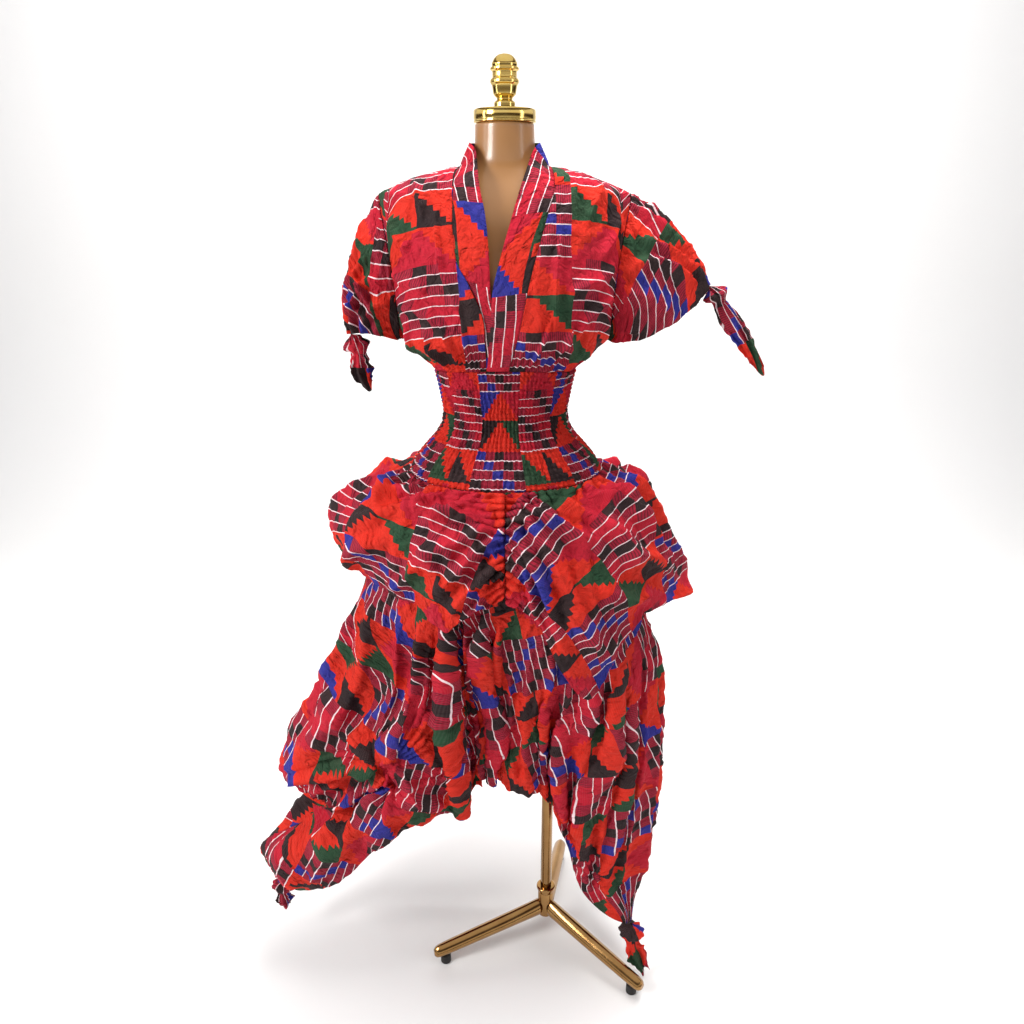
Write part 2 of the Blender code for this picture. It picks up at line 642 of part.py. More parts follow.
def make_back(material):
    rows = BODICE_ROWS
    columns = BACK_COLUMNS
    v = bodice_steps()
    share = np.sin(np.linspace(-1, 1, columns) * math.pi / 2) * 0.35 + np.linspace(-1, 1, columns) * 0.65
    side_z = WAIST_TOP + (SHOULDER_Z - WAIST_TOP) * v
    side_x = armhole_x(side_z) - GAP
    neck_half = SHOULDER_NECK_X
    grid = np.zeros((rows, columns, 3))
    for j, u in enumerate(share):
        x = u * side_x
        top_x = abs(u) * armhole_x(SHOULDER_Z)
        slope = (NECK_SEAM_Z - SHOULDER_Z) / (armhole_x(SHOULDER_Z) - neck_half)
        if top_x > neck_half:
            across = (armhole_x(SHOULDER_Z) - top_x) / (armhole_x(SHOULDER_Z) - neck_half)
            top_z = SHOULDER_Z + (armhole_x(SHOULDER_Z) - top_x) * slope
            top_z += SHOULDER_CROWN * math.sin(math.pi * across)
        else:
            top_z = NECK_SEAM_Z - BACK_NECK_DROP * math.sqrt(1 - (top_x / neck_half) ** 2)
        z = WAIST_TOP + GAP + (top_z - WAIST_TOP - 2 * GAP) * v
        gather = BODICE_GATHER_DEPTH * (j % 2) * math.cos(math.pi * u / 2) * (1 - v) ** 1.5
        y = front_depth(x, z, 1) + gather
        grid[:, j] = np.stack([x, y, z], axis=1)
    grid[0, :, 1] = waist_depth(grid[0, :, 0], grid[0, :, 2], TUCK_PANEL)
    grid[:, :, 1] = np.maximum(grid[:, :, 1], GAP / 2)
    for edge in (0, -1):
        grid[:, edge, 1] = np.where(grid[:, edge, 2] < UNDERARM_Z, GAP / 2, grid[:, edge, 1])
    grid = level_side(level_last_row(grid, 1), 1, True, True)
    cloth_wall("bodice_back", grid, material)


def armhole_ring(side, angles):
    """The armhole seam: angle 0 is the shoulder, a quarter turn the front, half the underarm."""
    middle = (SHOULDER_Z + UNDERARM_Z) / 2
    half = (SHOULDER_Z - UNDERARM_Z) / 2
    z = middle + half * np.cos(angles)
    x = armhole_x(z)
    front = np.sin(angles) >= 0
    y = np.where(front, front_depth(x, z, -1), front_depth(x, z, 1))
    return np.stack([side * x, y, z], axis=1)


def guide_ring(guides, angles):
    """A smooth ring through four guide points: top, front, underarm and back."""
    top, front, under, back = (np.array(g) for g in guides)
    centre = (top + front + under + back) / 4
    upright = (top - under) / 2
    across = (front - back) / 2
    twist = (top + under - front - back) / 4
    c = np.cos(angles)[:, None]
    s = np.sin(angles)[:, None]
    return centre + upright * c + across * s + twist * np.cos(2 * angles)[:, None]


def make_sleeve(name, side, material):
    columns = 2 * SLEEVE_PLEATS + 4
    angles = np.linspace(0, 2 * math.pi, columns, endpoint=False)
    start = armhole_ring(side, angles)
    middle = guide_ring(SLEEVE_GUIDES[name][0], angles)
    cuff = guide_ring(SLEEVE_GUIDES[name][1], angles)
    grid = np.zeros((SLEEVE_ROWS, columns, 3))
    for i, s in enumerate(np.linspace(SLEEVE_START, 1, SLEEVE_ROWS)):
        ring = (1 - s) ** 2 * start + 2 * s * (1 - s) * middle + s * s * cuff
        centre = ring.mean(axis=0)
        out = ring - centre
        out /= np.linalg.norm(out, axis=1)[:, None]
        pleat = SLEEVE_PLEAT_DEPTH * ease(s * 1.4) * np.where(np.arange(columns) % 2 == 0, 1.0, -0.6)
        pleat = pleat * (0.35 + 0.65 * np.cos(angles / 2) ** 2)
        pleat[0] = 0.0
        grid[i] = ring + out * pleat[:, None]
    centres = grid.mean(axis=1)
    cloth_wall(name, grid, material, closed=True, centres=centres)


def make_knot(name, material):
    """A tied corner: gathered root, knot and flat tail, lofted along its own line."""
    rows = np.array(KNOTS[name])
    centres = rows[:, :3]
    tangents = np.gradient(centres, axis=0)
    sides = np.linspace(0, 2 * math.pi, KNOT_SIDES, endpoint=False)
    rings = []
    for centre, tangent, half_width, half_thick in zip(centres, tangents, rows[:, 3], rows[:, 4]):
        tangent = tangent / np.linalg.norm(tangent)
        across = np.cross(tangent, np.array([0.0, 1.0, 0.0]))
        across /= np.linalg.norm(across)
        deep = np.cross(tangent, across)
        rings.append([
            centre + across * half_width * math.cos(a) + deep * half_thick * math.sin(a) for a in sides
        ])
    closed_loft(name, np.array(rings), material)


def form_radius(z, angles):
    """Points of the form's surface, straight between its sections as the solid is."""
    return oval(*form_size(z), angles)


def bridge(first, second, first_keys, second_keys):
    """Triangles between two open rows of points that run the same way."""
    faces = []
    i = 0
    j = 0
    while i < len(first) - 1 or j < len(second) - 1:
        step_first = j == len(second) - 1 or (i < len(first) - 1 and first_keys[i + 1] <= second_keys[j + 1])
        if step_first:
            faces.append((first[i], first[i + 1], second[j]))
            i += 1
        else:
            faces.append((first[i], second[j + 1], second[j]))
            j += 1
    return faces


def make_waist(name, start, material):
    """Half of the shirred waist: puffs between elastic rows outside, plain inside."""
    rows = 2 * WAIST_ROWS + 1
    columns = 2 * WAIST_TUCKS + 1
    edge = WAIST_SEAM_ANGLE
    outer_angles = np.linspace(start + edge, start + math.pi - edge, columns)
    inner_columns = FORM_SIDES // 2 + 1
    inner_angles = np.linspace(start, start + math.pi, inner_columns)
    inner_angles[0] += edge
    inner_angles[-1] -= edge
    points = []
    outer = np.zeros((rows, columns), dtype=int)
    for i in range(rows):
        for j, angle in enumerate(outer_angles):
            front = max(0.0, -math.sin(angle)) ** 2
            top = WAIST_TOP + WAIST_DIP * front
            z = WAIST_BOTTOM + (top - WAIST_BOTTOM) * i / (rows - 1)
            x, y = form_radius(z, angle)
            puff = WAIST_BASE + WAIST_PUFF * (i % 2) * (0.25 + 0.75 * (j % 2))
            grow = 1 + puff / math.hypot(x, y)
            outer[i, j] = len(points)
            points.append((x * grow, y * grow, z))
    inner = np.zeros((rows, inner_columns), dtype=int)
    for i in range(rows):
        for j, angle in enumerate(inner_angles):
            front = max(0.0, -math.sin(angle)) ** 2
            top = WAIST_TOP + WAIST_DIP * front
            z = WAIST_BOTTOM + (top - WAIST_BOTTOM) * i / (rows - 1)
            x, y = form_radius(z, angle)
            grow = 1 + WAIST_CLEARANCE / math.hypot(x, y)
            inner[i, j] = len(points)
            points.append((x * grow, y * grow, z))
    faces = []
    for table, flip in ((outer, False), (inner, True)):
        for i in range(table.shape[0] - 1):
            for j in range(table.shape[1] - 1):
                face = (table[i, j], table[i, j + 1], table[i + 1, j + 1], table[i + 1, j])
                faces.append(face[::-1] if flip else face)
    across = (np.linspace(0, 1, columns), np.linspace(0, 1, inner_columns))
    up = (np.linspace(0, 1, rows), np.linspace(0, 1, rows))
    for k in (0, -1):
        faces += bridge(list(outer[k, :]), list(inner[k, :]), *across)
        faces += bridge(list(outer[:, k]), list(inner[:, k]), *up)
    obj = link_mesh(name, points, faces, material)
    body = bmesh.new()
    body.from_mesh(obj.data)
    bmesh.ops.recalc_face_normals(body, faces=body.faces)
    body.to_mesh(obj.data)
    body.free()


def skirt_points(table, angles, levels, top_grow, top_z):
    """Reach and height round a skirt, smooth across its folds and down its length."""
    levels_in_table = (len(table[0]) - 1) // 2
    reach = np.zeros((levels_in_table + 1, len(angles)))
    height = np.zeros_like(reach)
    radians = np.radians(angles)
    x, y = form_radius(top_z, radians)
    reach[0] = np.hypot(x, y) + top_grow
    height[0] = top_z
    for k in range(levels_in_table):
        reach[k + 1] = smooth(table, 1 + 2 * k, angles)
        height[k + 1] = smooth(table, 2 + 2 * k, angles)
    direction = np.arctan2(y, x)
    direction = radians + np.mod(direction - radians + math.pi, 2 * math.pi) - math.pi
    steps = np.arange(levels_in_table + 1) / levels_in_table
    grid = np.zeros((len(levels), len(angles), 3))
    for j in range(len(angles)):
        profile = [(steps[k], reach[k, j], height[k, j]) for k in range(levels_in_table + 1)]
        r = smooth(profile, 1, levels)
        z = smooth(profile, 2, levels)
        turn = direction[j] + (radians[j] - direction[j]) * ease(levels * 2)
        grid[:, j] = np.stack([r * np.cos(turn), r * np.sin(turn), z], axis=1)
    return grid


def add_gathers(grid, levels, depth):
    """Every second column stands out as a gather that widens down the cloth."""
    for j in range(1, grid.shape[1] - 1):
        out = grid[:, j, :2] / np.linalg.norm(grid[:, j, :2], axis=1)[:, None]
        swing = depth * (0.5 if j % 2 else -0.5) * np.clip(levels * 2.5, 0, 1)
        grid[:, j, :2] += out * swing[:, None]
    return grid


def add_folds(grid, angles, levels, depth, lean):
    """Broad soft folds round the skirt, which lean as they run down."""
    for j, angle in enumerate(angles):
        out = grid[:, j, :2] / np.linalg.norm(grid[:, j, :2], axis=1)[:, None]
        wave = np.cos(math.radians(angle) * FOLD_COUNT + lean * levels)
        swing = depth * wave * np.sin(math.pi * 0.85 * levels)
        grid[:, j, :2] += out * swing[:, None]
    return grid


def tie_corner(grid, tie, squeeze):
    """Draws the long corner of the skirt together towards the knot."""
    x, y, low, high = tie
    same_side = np.sign(grid[:, :, 0]) == np.sign(x)
    near = np.hypot(grid[:, :, 0] - x, grid[:, :, 1] - y) < TIE_REACH
    pull = ease((high - grid[:, :, 2]) / (high - low)) * same_side * near
    scale = 1 - (1 - squeeze) * pull
    grid[:, :, 0] = x + (grid[:, :, 0] - x) * scale
    grid[:, :, 1] = y + (grid[:, :, 1] - y) * scale
    hem = grid[-1, :, 2]
    meets = ease((high - hem) / (high - low)) * (pull[-1] > 0)
    stretch = (high - low) / np.maximum(high - hem, GAP)
    level = high - (high - grid[:, :, 2]) * stretch[None, :]
    grid[:, :, 2] = np.where(grid[:, :, 2] < high, grid[:, :, 2] + (level - grid[:, :, 2]) * meets, grid[:, :, 2])
    return grid


def make_overskirt(name, table, material):
    columns = 2 * OVERSKIRT_GATHERS + 5
    angles = np.linspace(table[0][0] + SEAM_DEGREES, table[-1][0] - SEAM_DEGREES, columns)
    levels = np.linspace(0, 1, OVERSKIRT_ROWS) ** 1.2
    grid = skirt_points(table, angles, levels, OVERSKIRT_STAND_OFF, WAIST_BOTTOM - GAP)
    grid = add_folds(grid, angles, levels, FOLD_DEPTH / 2, -FOLD_LEAN)
    grid = add_gathers(grid, levels, OVERSKIRT_GATHER_DEPTH)
    cloth_wall(name, grid, material)


def make_skirt(name, first, last, material):
    columns = 4 * SKIRT_GATHERS - 3
    angles = np.linspace(first + SEAM_DEGREES, last - SEAM_DEGREES, columns)
    levels = np.linspace(0, 1, SKIRT_ROWS)
    grid = skirt_points(SKIRT, angles, levels, SKIRT_STAND_OFF, WAIST_BOTTOM - GAP)
    grid = add_folds(grid, angles, levels, FOLD_DEPTH, FOLD_LEAN)
    grid = add_gathers(grid, levels, SKIRT_GATHER_DEPTH)
    grid = tie_corner(grid, TIE_RIGHT, TIE_SQUEEZE)
    grid = tie_corner(grid, TIE_LEFT, TIE_SQUEEZE)
    side = -1 if first < 0 else 1
    low = grid[:, :, 2] < TIE_LEFT[3]
    beyond = low & (side * grid[:, :, 1] < TIE_CLEARANCE) & (grid[:, :, 0] < 0)
    grid[:, :, 1] = np.where(beyond, side * TIE_CLEARANCE, grid[:, :, 1])
    cloth_wall(name, grid, material)


brown = finish("form plastic", FORM_BROWN, 0.3, 0.0)
gold = finish("cap gold", CAP_GOLD, 0.2, 1.0)
bronze = finish("stand bronze gold", STAND_BRONZE, 0.25, 1.0)
red_print = finish("printed cotton", PRINT_RED, 0.8, 0.0)
orange_print = finish("printed cotton, orange ground", PRINT_ORANGE, 0.8, 0.0)

make_form(brown)
make_cap_and_finial(gold)
make_stand(bronze)
make_bands(orange_print)
make_front("bodice_front_right", BAND_RIGHT, 1, red_print)
make_front("bodice_front_left", BAND_LEFT, -1, red_print)
make_back(red_print)
make_sleeve("sleeve_right", 1, orange_print)
make_sleeve("sleeve_left", -1, orange_print)
make_waist("waist_front", -math.pi, orange_print)
make_waist("waist_back", 0.0, orange_print)
make_overskirt("overskirt_left", OVERSKIRT_LEFT, red_print)
make_overskirt("overskirt_right", OVERSKIRT_RIGHT, red_print)
make_skirt("skirt_front", -180.0, 0.0, red_print)
make_skirt("skirt_back", 0.0, 180.0, red_print)
for knot in KNOTS:
    make_knot(knot, orange_print)
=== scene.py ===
import math

import bmesh
import bpy
import numpy as np
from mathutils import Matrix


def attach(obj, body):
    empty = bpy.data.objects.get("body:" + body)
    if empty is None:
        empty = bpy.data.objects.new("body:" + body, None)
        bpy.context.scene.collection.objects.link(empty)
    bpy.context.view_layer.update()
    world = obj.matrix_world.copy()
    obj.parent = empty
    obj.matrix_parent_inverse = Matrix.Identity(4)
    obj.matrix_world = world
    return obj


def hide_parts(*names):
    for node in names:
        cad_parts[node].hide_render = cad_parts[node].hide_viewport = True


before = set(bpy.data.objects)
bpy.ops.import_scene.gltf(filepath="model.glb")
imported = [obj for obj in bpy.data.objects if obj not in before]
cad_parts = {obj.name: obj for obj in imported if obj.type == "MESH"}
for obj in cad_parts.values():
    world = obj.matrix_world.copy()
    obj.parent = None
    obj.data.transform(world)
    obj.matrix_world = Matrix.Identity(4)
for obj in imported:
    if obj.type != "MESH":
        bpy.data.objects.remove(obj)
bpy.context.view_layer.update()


# Studio: a white painted floor that sweeps up into a wall. A softbox hangs overhead, one light stands to the
# left, two upright strips draw the edges, and two lamps at the back light the wall and the rim of the dress.
# The camera stands a little above bust height and looks down, as in the photograph.
def colour(code):
    """An sRGB hex colour as a linear one."""
    parts = [int(code[i:i + 2], 16) / 255 for i in (1, 3, 5)]
    return tuple(p / 12.92 if p <= 0.04045 else ((p + 0.055) / 1.055) ** 2.4 for p in parts) + (1.0,)


def add_node(tree, kind, links=None, **settings):
    """Adds a node with its settings; each input takes a socket or a value."""
    node = tree.nodes.new(kind)
    for key, value in settings.items():
        setattr(node, key, value)
    for socket, source in (links or {}).items():
        if isinstance(source, bpy.types.NodeSocket):
            tree.links.new(source, node.inputs[socket])
        else:
            node.inputs[socket].default_value = source
    return node


def new_material(name):
    material = bpy.data.materials.new(name)
    material.use_nodes = True
    return material, material.node_tree, material.node_tree.nodes["Principled BSDF"]


floor_paint, tree, shader = new_material("matt white studio paint")
shader.inputs["Base Color"].default_value = colour("#F6F5F3")
shader.inputs["Roughness"].default_value = 0.9
grain = add_node(tree, "ShaderNodeTexNoise", {"Scale": 90.0, "Detail": 3.0})
bump = add_node(tree, "ShaderNodeBump", {"Height": grain.outputs["Fac"], "Strength": 0.02, "Distance": 0.002})
tree.links.new(bump.outputs["Normal"], shader.inputs["Normal"])

bpy.ops.object.select_all(action="DESELECT")
bpy.ops.mesh.primitive_plane_add(size=9.0, location=(0.0, -1.0, 0.0))
floor = bpy.context.object
floor.name = "studio_floor"
bpy.ops.object.mode_set(mode="EDIT")
bpy.ops.mesh.select_all(action="DESELECT")
bpy.ops.object.mode_set(mode="OBJECT")
for edge in floor.data.edges:
    edge.select = all(floor.data.vertices[v].co.y > 4.0 for v in edge.vertices)
bpy.ops.object.mode_set(mode="EDIT")
bpy.ops.mesh.select_mode(type="EDGE")
bpy.ops.mesh.extrude_region_move(TRANSFORM_OT_translate={"value": (0.0, 0.0, 5.0)})
bpy.ops.object.mode_set(mode="OBJECT")
curve = floor.modifiers.new("floor sweep", "BEVEL")
curve.width = 1.2
curve.segments = 24
curve.limit_method = "ANGLE"
bpy.ops.object.modifier_apply(modifier=curve.name)
bpy.ops.object.transform_apply(location=True, rotation=True, scale=True)
bpy.ops.object.shade_smooth()
floor.data.materials.append(floor_paint)

world = bpy.data.worlds.new("studio air")
bpy.context.scene.world = world
world.use_nodes = True
# polished metal sees a room of dark and bright bands one above the other; the camera sees plain white
sky = world.node_tree
ray = add_node(sky, "ShaderNodeTexCoord")
height = add_node(sky, "ShaderNodeSeparateXYZ", {0: ray.outputs["Generated"]})
level = add_node(sky, "ShaderNodeMapRange", {"Value": height.outputs["Z"], "From Min": -1.0, "From Max": 1.0})
bands = add_node(sky, "ShaderNodeValToRGB", {0: level.outputs["Result"]})
# way up the room as a share, and the tone from there on
ROOM = (
    (0.30, "#D8D2C8"), (0.46, "#3A302A"), (0.54, "#4A4038"), (0.58, "#F4F0EA"), (0.68, "#FFFFFF"),
    (0.72, "#55493F"), (0.80, "#6A5E52"), (0.84, "#F2EEE8"), (1.00, "#FFFFFF"),
)
for k, (place, code) in enumerate(ROOM):
    stop = bands.color_ramp.elements[0] if k == 0 else bands.color_ramp.elements.new(place)
    stop.position = place
    stop.color = colour(code)
bands.color_ramp.elements.remove(bands.color_ramp.elements[-1])
way = add_node(sky, "ShaderNodeLightPath")
reflected = add_node(
    sky, "ShaderNodeMix",
    {"Factor": way.outputs["Is Glossy Ray"], "A": colour("#9C9CA0"), "B": bands.outputs["Color"]},
    data_type="RGBA",
)
seen = add_node(
    sky, "ShaderNodeMix",
    {"Factor": way.outputs["Is Camera Ray"], "A": reflected.outputs["Result"], "B": colour("#FFFFFF")},
    data_type="RGBA",
)
sky.links.new(seen.outputs["Result"], sky.nodes["Background"].inputs["Color"])
sky.nodes["Background"].inputs["Strength"].default_value = 1.0

# place, tilt in degrees, width, height, watts
LIGHTS = {
    "overhead softbox": ((0.5, 0.0, 3.2), (-6, 0, 0), 1.5, 1.5, 66.0),
    "side light": ((-2.2, -1.6, 2.3), (64, 0, -56), 0.9, 0.9, 62.0),
    "right strip": ((2.0, -0.9, 1.4), (90, 0, 68), 0.4, 2.2, 8.0),
    "left strip": ((-2.1, -0.4, 1.5), (90, 0, -80), 0.3, 2.0, 8.0),
    "wall wash": ((0.0, 1.2, 3.4), (60, 0, 0), 4.0, 0.6, 90.0),
    "back rim": ((0.6, 1.3, 3.0), (-48, 0, 0), 1.6, 0.8, 26.0),
}
for name, (place, tilt, wide, high, watts) in LIGHTS.items():
    bpy.ops.object.light_add(type="AREA", location=place, rotation=[math.radians(a) for a in tilt])
    lamp = bpy.context.object
    lamp.name = name
    lamp.data.shape = "RECTANGLE"
    lamp.data.size = wide
    lamp.data.size_y = high
    lamp.data.energy = watts
    # the large lamps only light; their images would burn out on the polished metal
    lamp.visible_glossy = "strip" in name or "side" in name

CAMERA_PLACE = (0.0541, -1.4893, 1.55)
CAMERA_TILT = 70.0
CAMERA_LENS = 29.36
bpy.ops.object.camera_add(location=CAMERA_PLACE, rotation=(math.radians(CAMERA_TILT), 0.0, 0.0))
camera = bpy.context.object
camera.data.lens = CAMERA_LENS
camera.data.sensor_width = 36.0
camera.data.clip_start = 0.05
bpy.context.scene.camera = camera
bpy.context.scene.view_settings.view_transform = "Standard"


# Dress form: a hollow fibreglass torso with a short neck, sprayed brown and lacquered, without limbs.
# It carries the dress and slides on the pole below. The neck's cap is turned brass.
GAP = 0.0003
ORIGIN_X = 0.0425
ORIGIN_Y = -0.0293
# height, half width, half depth
FORM_SECTIONS = (
    (0.985, 0.118, 0.094),
    (0.995, 0.136, 0.109),
    (1.030, 0.154, 0.125),
    (1.070, 0.164, 0.135),
    (1.105, 0.1680, 0.1400),
    (1.118, 0.1625, 0.1355),
    (1.130, 0.1555, 0.1295),
    (1.150, 0.139, 0.117),
    (1.170, 0.1205, 0.1035),
    (1.190, 0.1080, 0.0930),
    (1.216, 0.1040, 0.0895),
    (1.257, 0.1110, 0.097),
    (1.287, 0.1180, 0.103),
    (1.330, 0.133, 0.112),
    (1.380, 0.148, 0.119),
    (1.430, 0.156, 0.120),
    (1.480, 0.163, 0.110),
    (1.530, 0.168, 0.094),
    (1.560, 0.158, 0.079),
    (1.582, 0.120, 0.066),
    (1.598, 0.080, 0.057),
    (1.616, 0.056, 0.0505),
    (1.634, 0.0495, 0.0485),
    (1.676, 0.0475, 0.0475),
)
FORM_RINGS = 90
FORM_SIDES = 120
FORM_INSET = 0.0002


def smooth(table, column, at):
    """Reads one column of a table at the given keys, along a curve that never overshoots its rows."""
    keys = np.array([row[0] for row in table])
    values = np.array([row[column] for row in table])
    at = np.clip(np.asarray(at, dtype=float), keys[0], keys[-1])
    step = np.diff(keys)
    rise = np.diff(values) / step
    slope = np.zeros(len(keys))
    slope[0] = rise[0]
    slope[-1] = rise[-1]
    for i in range(1, len(keys) - 1):
        if rise[i - 1] * rise[i] > 0:
            near = 2 * step[i] + step[i - 1]
            far = step[i] + 2 * step[i - 1]
            slope[i] = (near + far) / (near / rise[i - 1] + far / rise[i])
    k = np.clip(np.searchsorted(keys, at, side="right") - 1, 0, len(step) - 1)
    s = (at - keys[k]) / step[k]
    return (
        values[k] * (1 + 2 * s) * (1 - s) ** 2
        + step[k] * slope[k] * s * (1 - s) ** 2
        + values[k + 1] * s * s * (3 - 2 * s)
        + step[k] * slope[k + 1] * s * s * (s - 1)
    )


def ease(value):
    """From 0 to 1 with a soft start and a soft end."""
    value = np.clip(value, 0.0, 1.0)
    return value * value * (3 - 2 * value)


def placed(points):
    """From the torso's own axes to the axes of the whole part."""
    return np.asarray(points) + np.array([ORIGIN_X, ORIGIN_Y, 0.0])


def drawn_piece(name, rings, material, bevel=0.0, angle=35.0):
    """A hard piece drawn from a circle, ring after ring, closed at both ends."""
    bpy.ops.object.select_all(action="DESELECT")
    bpy.ops.mesh.primitive_circle_add(vertices=len(rings[0]), radius=0.01, location=(0.0, 0.0, 0.0))
    piece = bpy.context.object
    piece.name = name
    bpy.ops.object.mode_set(mode="EDIT")
    for _ in rings[1:]:
        bpy.ops.mesh.extrude_region_move()
    bpy.ops.object.mode_set(mode="OBJECT")
    piece.data.vertices.foreach_set("co", placed(np.array(rings).reshape(-1, 3)).ravel())
    bpy.ops.object.mode_set(mode="EDIT")
    bpy.ops.mesh.select_all(action="SELECT")
    bpy.ops.mesh.fill_holes(sides=0)
    bpy.ops.mesh.select_all(action="SELECT")
    bpy.ops.mesh.normals_make_consistent(inside=False)
    bpy.ops.object.mode_set(mode="OBJECT")
    if bevel:
        edge = piece.modifiers.new("rounded edges", "BEVEL")
        edge.width = bevel
        edge.segments = 3
        edge.limit_method = "ANGLE"
        edge.angle_limit = math.radians(angle)
        bpy.ops.object.modifier_apply(modifier=edge.name)
    bpy.ops.object.shade_smooth_by_angle(angle=math.radians(50.0))
    piece.data.materials.append(material)
    return piece


def rings_of(profile, x=0.0, y=0.0, sides=96):
    """Level rings from a profile of radius and height."""
    turn = np.linspace(0, 2 * math.pi, sides, endpoint=False)
    around = np.stack([np.cos(turn), np.sin(turn), np.zeros(sides)], axis=1)
    return [np.array([x, y, z]) + r * around for r, z in profile]


# Lacquered fibreglass: even brown with a faint mottle, a hard clear coat and orange peel of about 3 mm
form_lacquer, tree, shader = new_material("brown lacquered fibreglass")
spots = add_node(tree, "ShaderNodeTexCoord")
mottle = add_node(
    tree, "ShaderNodeTexNoise", {"Vector": spots.outputs["Object"], "Scale": 9.0, "Detail": 4.0},
)
tone = add_node(
    tree, "ShaderNodeMix", {"Factor": mottle.outputs["Fac"], "A": colour("#97683D"), "B": colour("#AF7F4E")},
    data_type="RGBA",
)
peel = add_node(
    tree, "ShaderNodeTexNoise", {"Vector": spots.outputs["Object"], "Scale": 330.0, "Detail": 1.0},
)
skin = add_node(tree, "ShaderNodeBump", {"Height": peel.outputs["Fac"], "Strength": 0.05, "Distance": 0.0004})
tree.links.new(skin.outputs["Normal"], shader.inputs["Normal"])
shader.inputs["Roughness"].default_value = 0.34
shader.inputs["Coat Weight"].default_value = 0.4
shader.inputs["Coat Roughness"].default_value = 0.12
tree.links.new(tone.outputs["Result"], shader.inputs["Base Color"])

heights = np.linspace(FORM_SECTIONS[0][0], FORM_SECTIONS[-1][0], FORM_RINGS)
turn = np.linspace(0, 2 * math.pi, FORM_SIDES, endpoint=False)
rings = []
for height in heights:
    wide = float(smooth(FORM_SECTIONS, 1, height)) - FORM_INSET
    deep = float(smooth(FORM_SECTIONS, 2, height)) - FORM_INSET
    rings.append(np.stack([wide * np.cos(turn), deep * np.sin(turn), np.full(FORM_SIDES, height)], axis=1))
form_shell = drawn_piece("form_shell", rings, form_lacquer, bevel=0.003, angle=50.0)
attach(form_shell, "root")
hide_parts("form_torso")

# Polished brass: a warm yellow mirror, clouded by rubbing marks from 17 mm down to 0.3 mm
cap_brass, tree, shader = new_material("polished brass")
shader.inputs["Metallic"].default_value = 1.0
spots = add_node(tree, "ShaderNodeTexCoord")
rub = add_node(tree, "ShaderNodeTexNoise", {"Vector": spots.outputs["Object"], "Scale": 60.0, "Detail": 6.0})
tone = add_node(
    tree, "ShaderNodeMix", {"Factor": rub.outputs["Fac"], "A": colour("#D9B45C"), "B": colour("#EBCF84")},
    data_type="RGBA",
)
tree.links.new(tone.outputs["Result"], shader.inputs["Base Color"])
shine = add_node(tree, "ShaderNodeMapRange", {"Value": rub.outputs["Fac"], "To Min": 0.08, "To Max": 0.2})
tree.links.new(shine.outputs["Result"], shader.inputs["Roughness"])

CAP_RADIUS = 0.050
CAP_BOTTOM = 1.6763
CAP_TOP = 1.697
# radius and height
FINIAL_PROFILE = (
    (0.0000, 1.7760), (0.0095, 1.7740), (0.0170, 1.7680), (0.0205, 1.7600), (0.0200, 1.7565),
    (0.0230, 1.7550), (0.0230, 1.7525), (0.0195, 1.7490), (0.0195, 1.7430), (0.0230, 1.7375),
    (0.0230, 1.7345), (0.0203, 1.7300), (0.0180, 1.7180), (0.0125, 1.7115), (0.0170, 1.7060),
    (0.0170, 1.7000), (0.0140, 1.6973), (0.0000, 1.6973),
)
rim = CAP_RADIUS - 0.0015
cap_profile = (
    (CAP_RADIUS * 0.6, CAP_TOP + 0.0002), (rim, CAP_TOP - 0.0006), (CAP_RADIUS, CAP_TOP - 0.003),
    (CAP_RADIUS, CAP_BOTTOM + 0.006), (rim + 0.0009, CAP_BOTTOM + 0.0045), (CAP_RADIUS, CAP_BOTTOM + 0.003),
    (CAP_RADIUS, CAP_BOTTOM + 0.001), (rim, CAP_BOTTOM),
)
neck_cap = drawn_piece("cap_disc", rings_of(cap_profile), cap_brass, bevel=0.0005)
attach(neck_cap, "root")
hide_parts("neck_cap")

keyed = [(i,) + row for i, row in enumerate(FINIAL_PROFILE)]
steps = np.linspace(0.12, len(keyed) - 1.001, 110)
finial_profile = list(zip(smooth(keyed, 1, steps), smooth(keyed, 2, steps)))
finial = drawn_piece("finial_knob", rings_of(finial_profile, sides=72), cap_brass)
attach(finial, "root")
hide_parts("finial")


# Stand: a steel pole in a cast hub with three tapering legs, all gold plated in a darker tone than the cap.
# The pole enters the form's base, the collar clamps it, and rubber pads sit under the leg ends.
POLE_X = 0.0868
POLE_RADIUS = 0.012
COLLAR_RADIUS = 0.0205
COLLAR_BOTTOM = 0.131
COLLAR_TOP = 0.139
HUB_RADIUS = 0.017
HUB_BOTTOM = 0.055
HUB_TAPER = 0.008
LEG_LENGTH = 0.258
LEG_ROOT_Z = 0.087
LEG_END_Z = 0.032
LEG_ANGLES = {"leg_left": 199.0, "leg_right": -41.0, "leg_back": 79.0}
# way along the leg as a share, half width, half height
LEG_SECTIONS = (
    (0.0, 0.0160, 0.0200), (0.25, 0.0165, 0.0175), (0.70, 0.0155, 0.0155), (0.94, 0.0140, 0.0140),
    (0.98, 0.0120, 0.0115), (1.0, 0.0070, 0.0070),
)
FOOT_RADIUS = 0.011
FOOT_SHARE = 0.9
LEG_FOOT_DROP = 0.0161

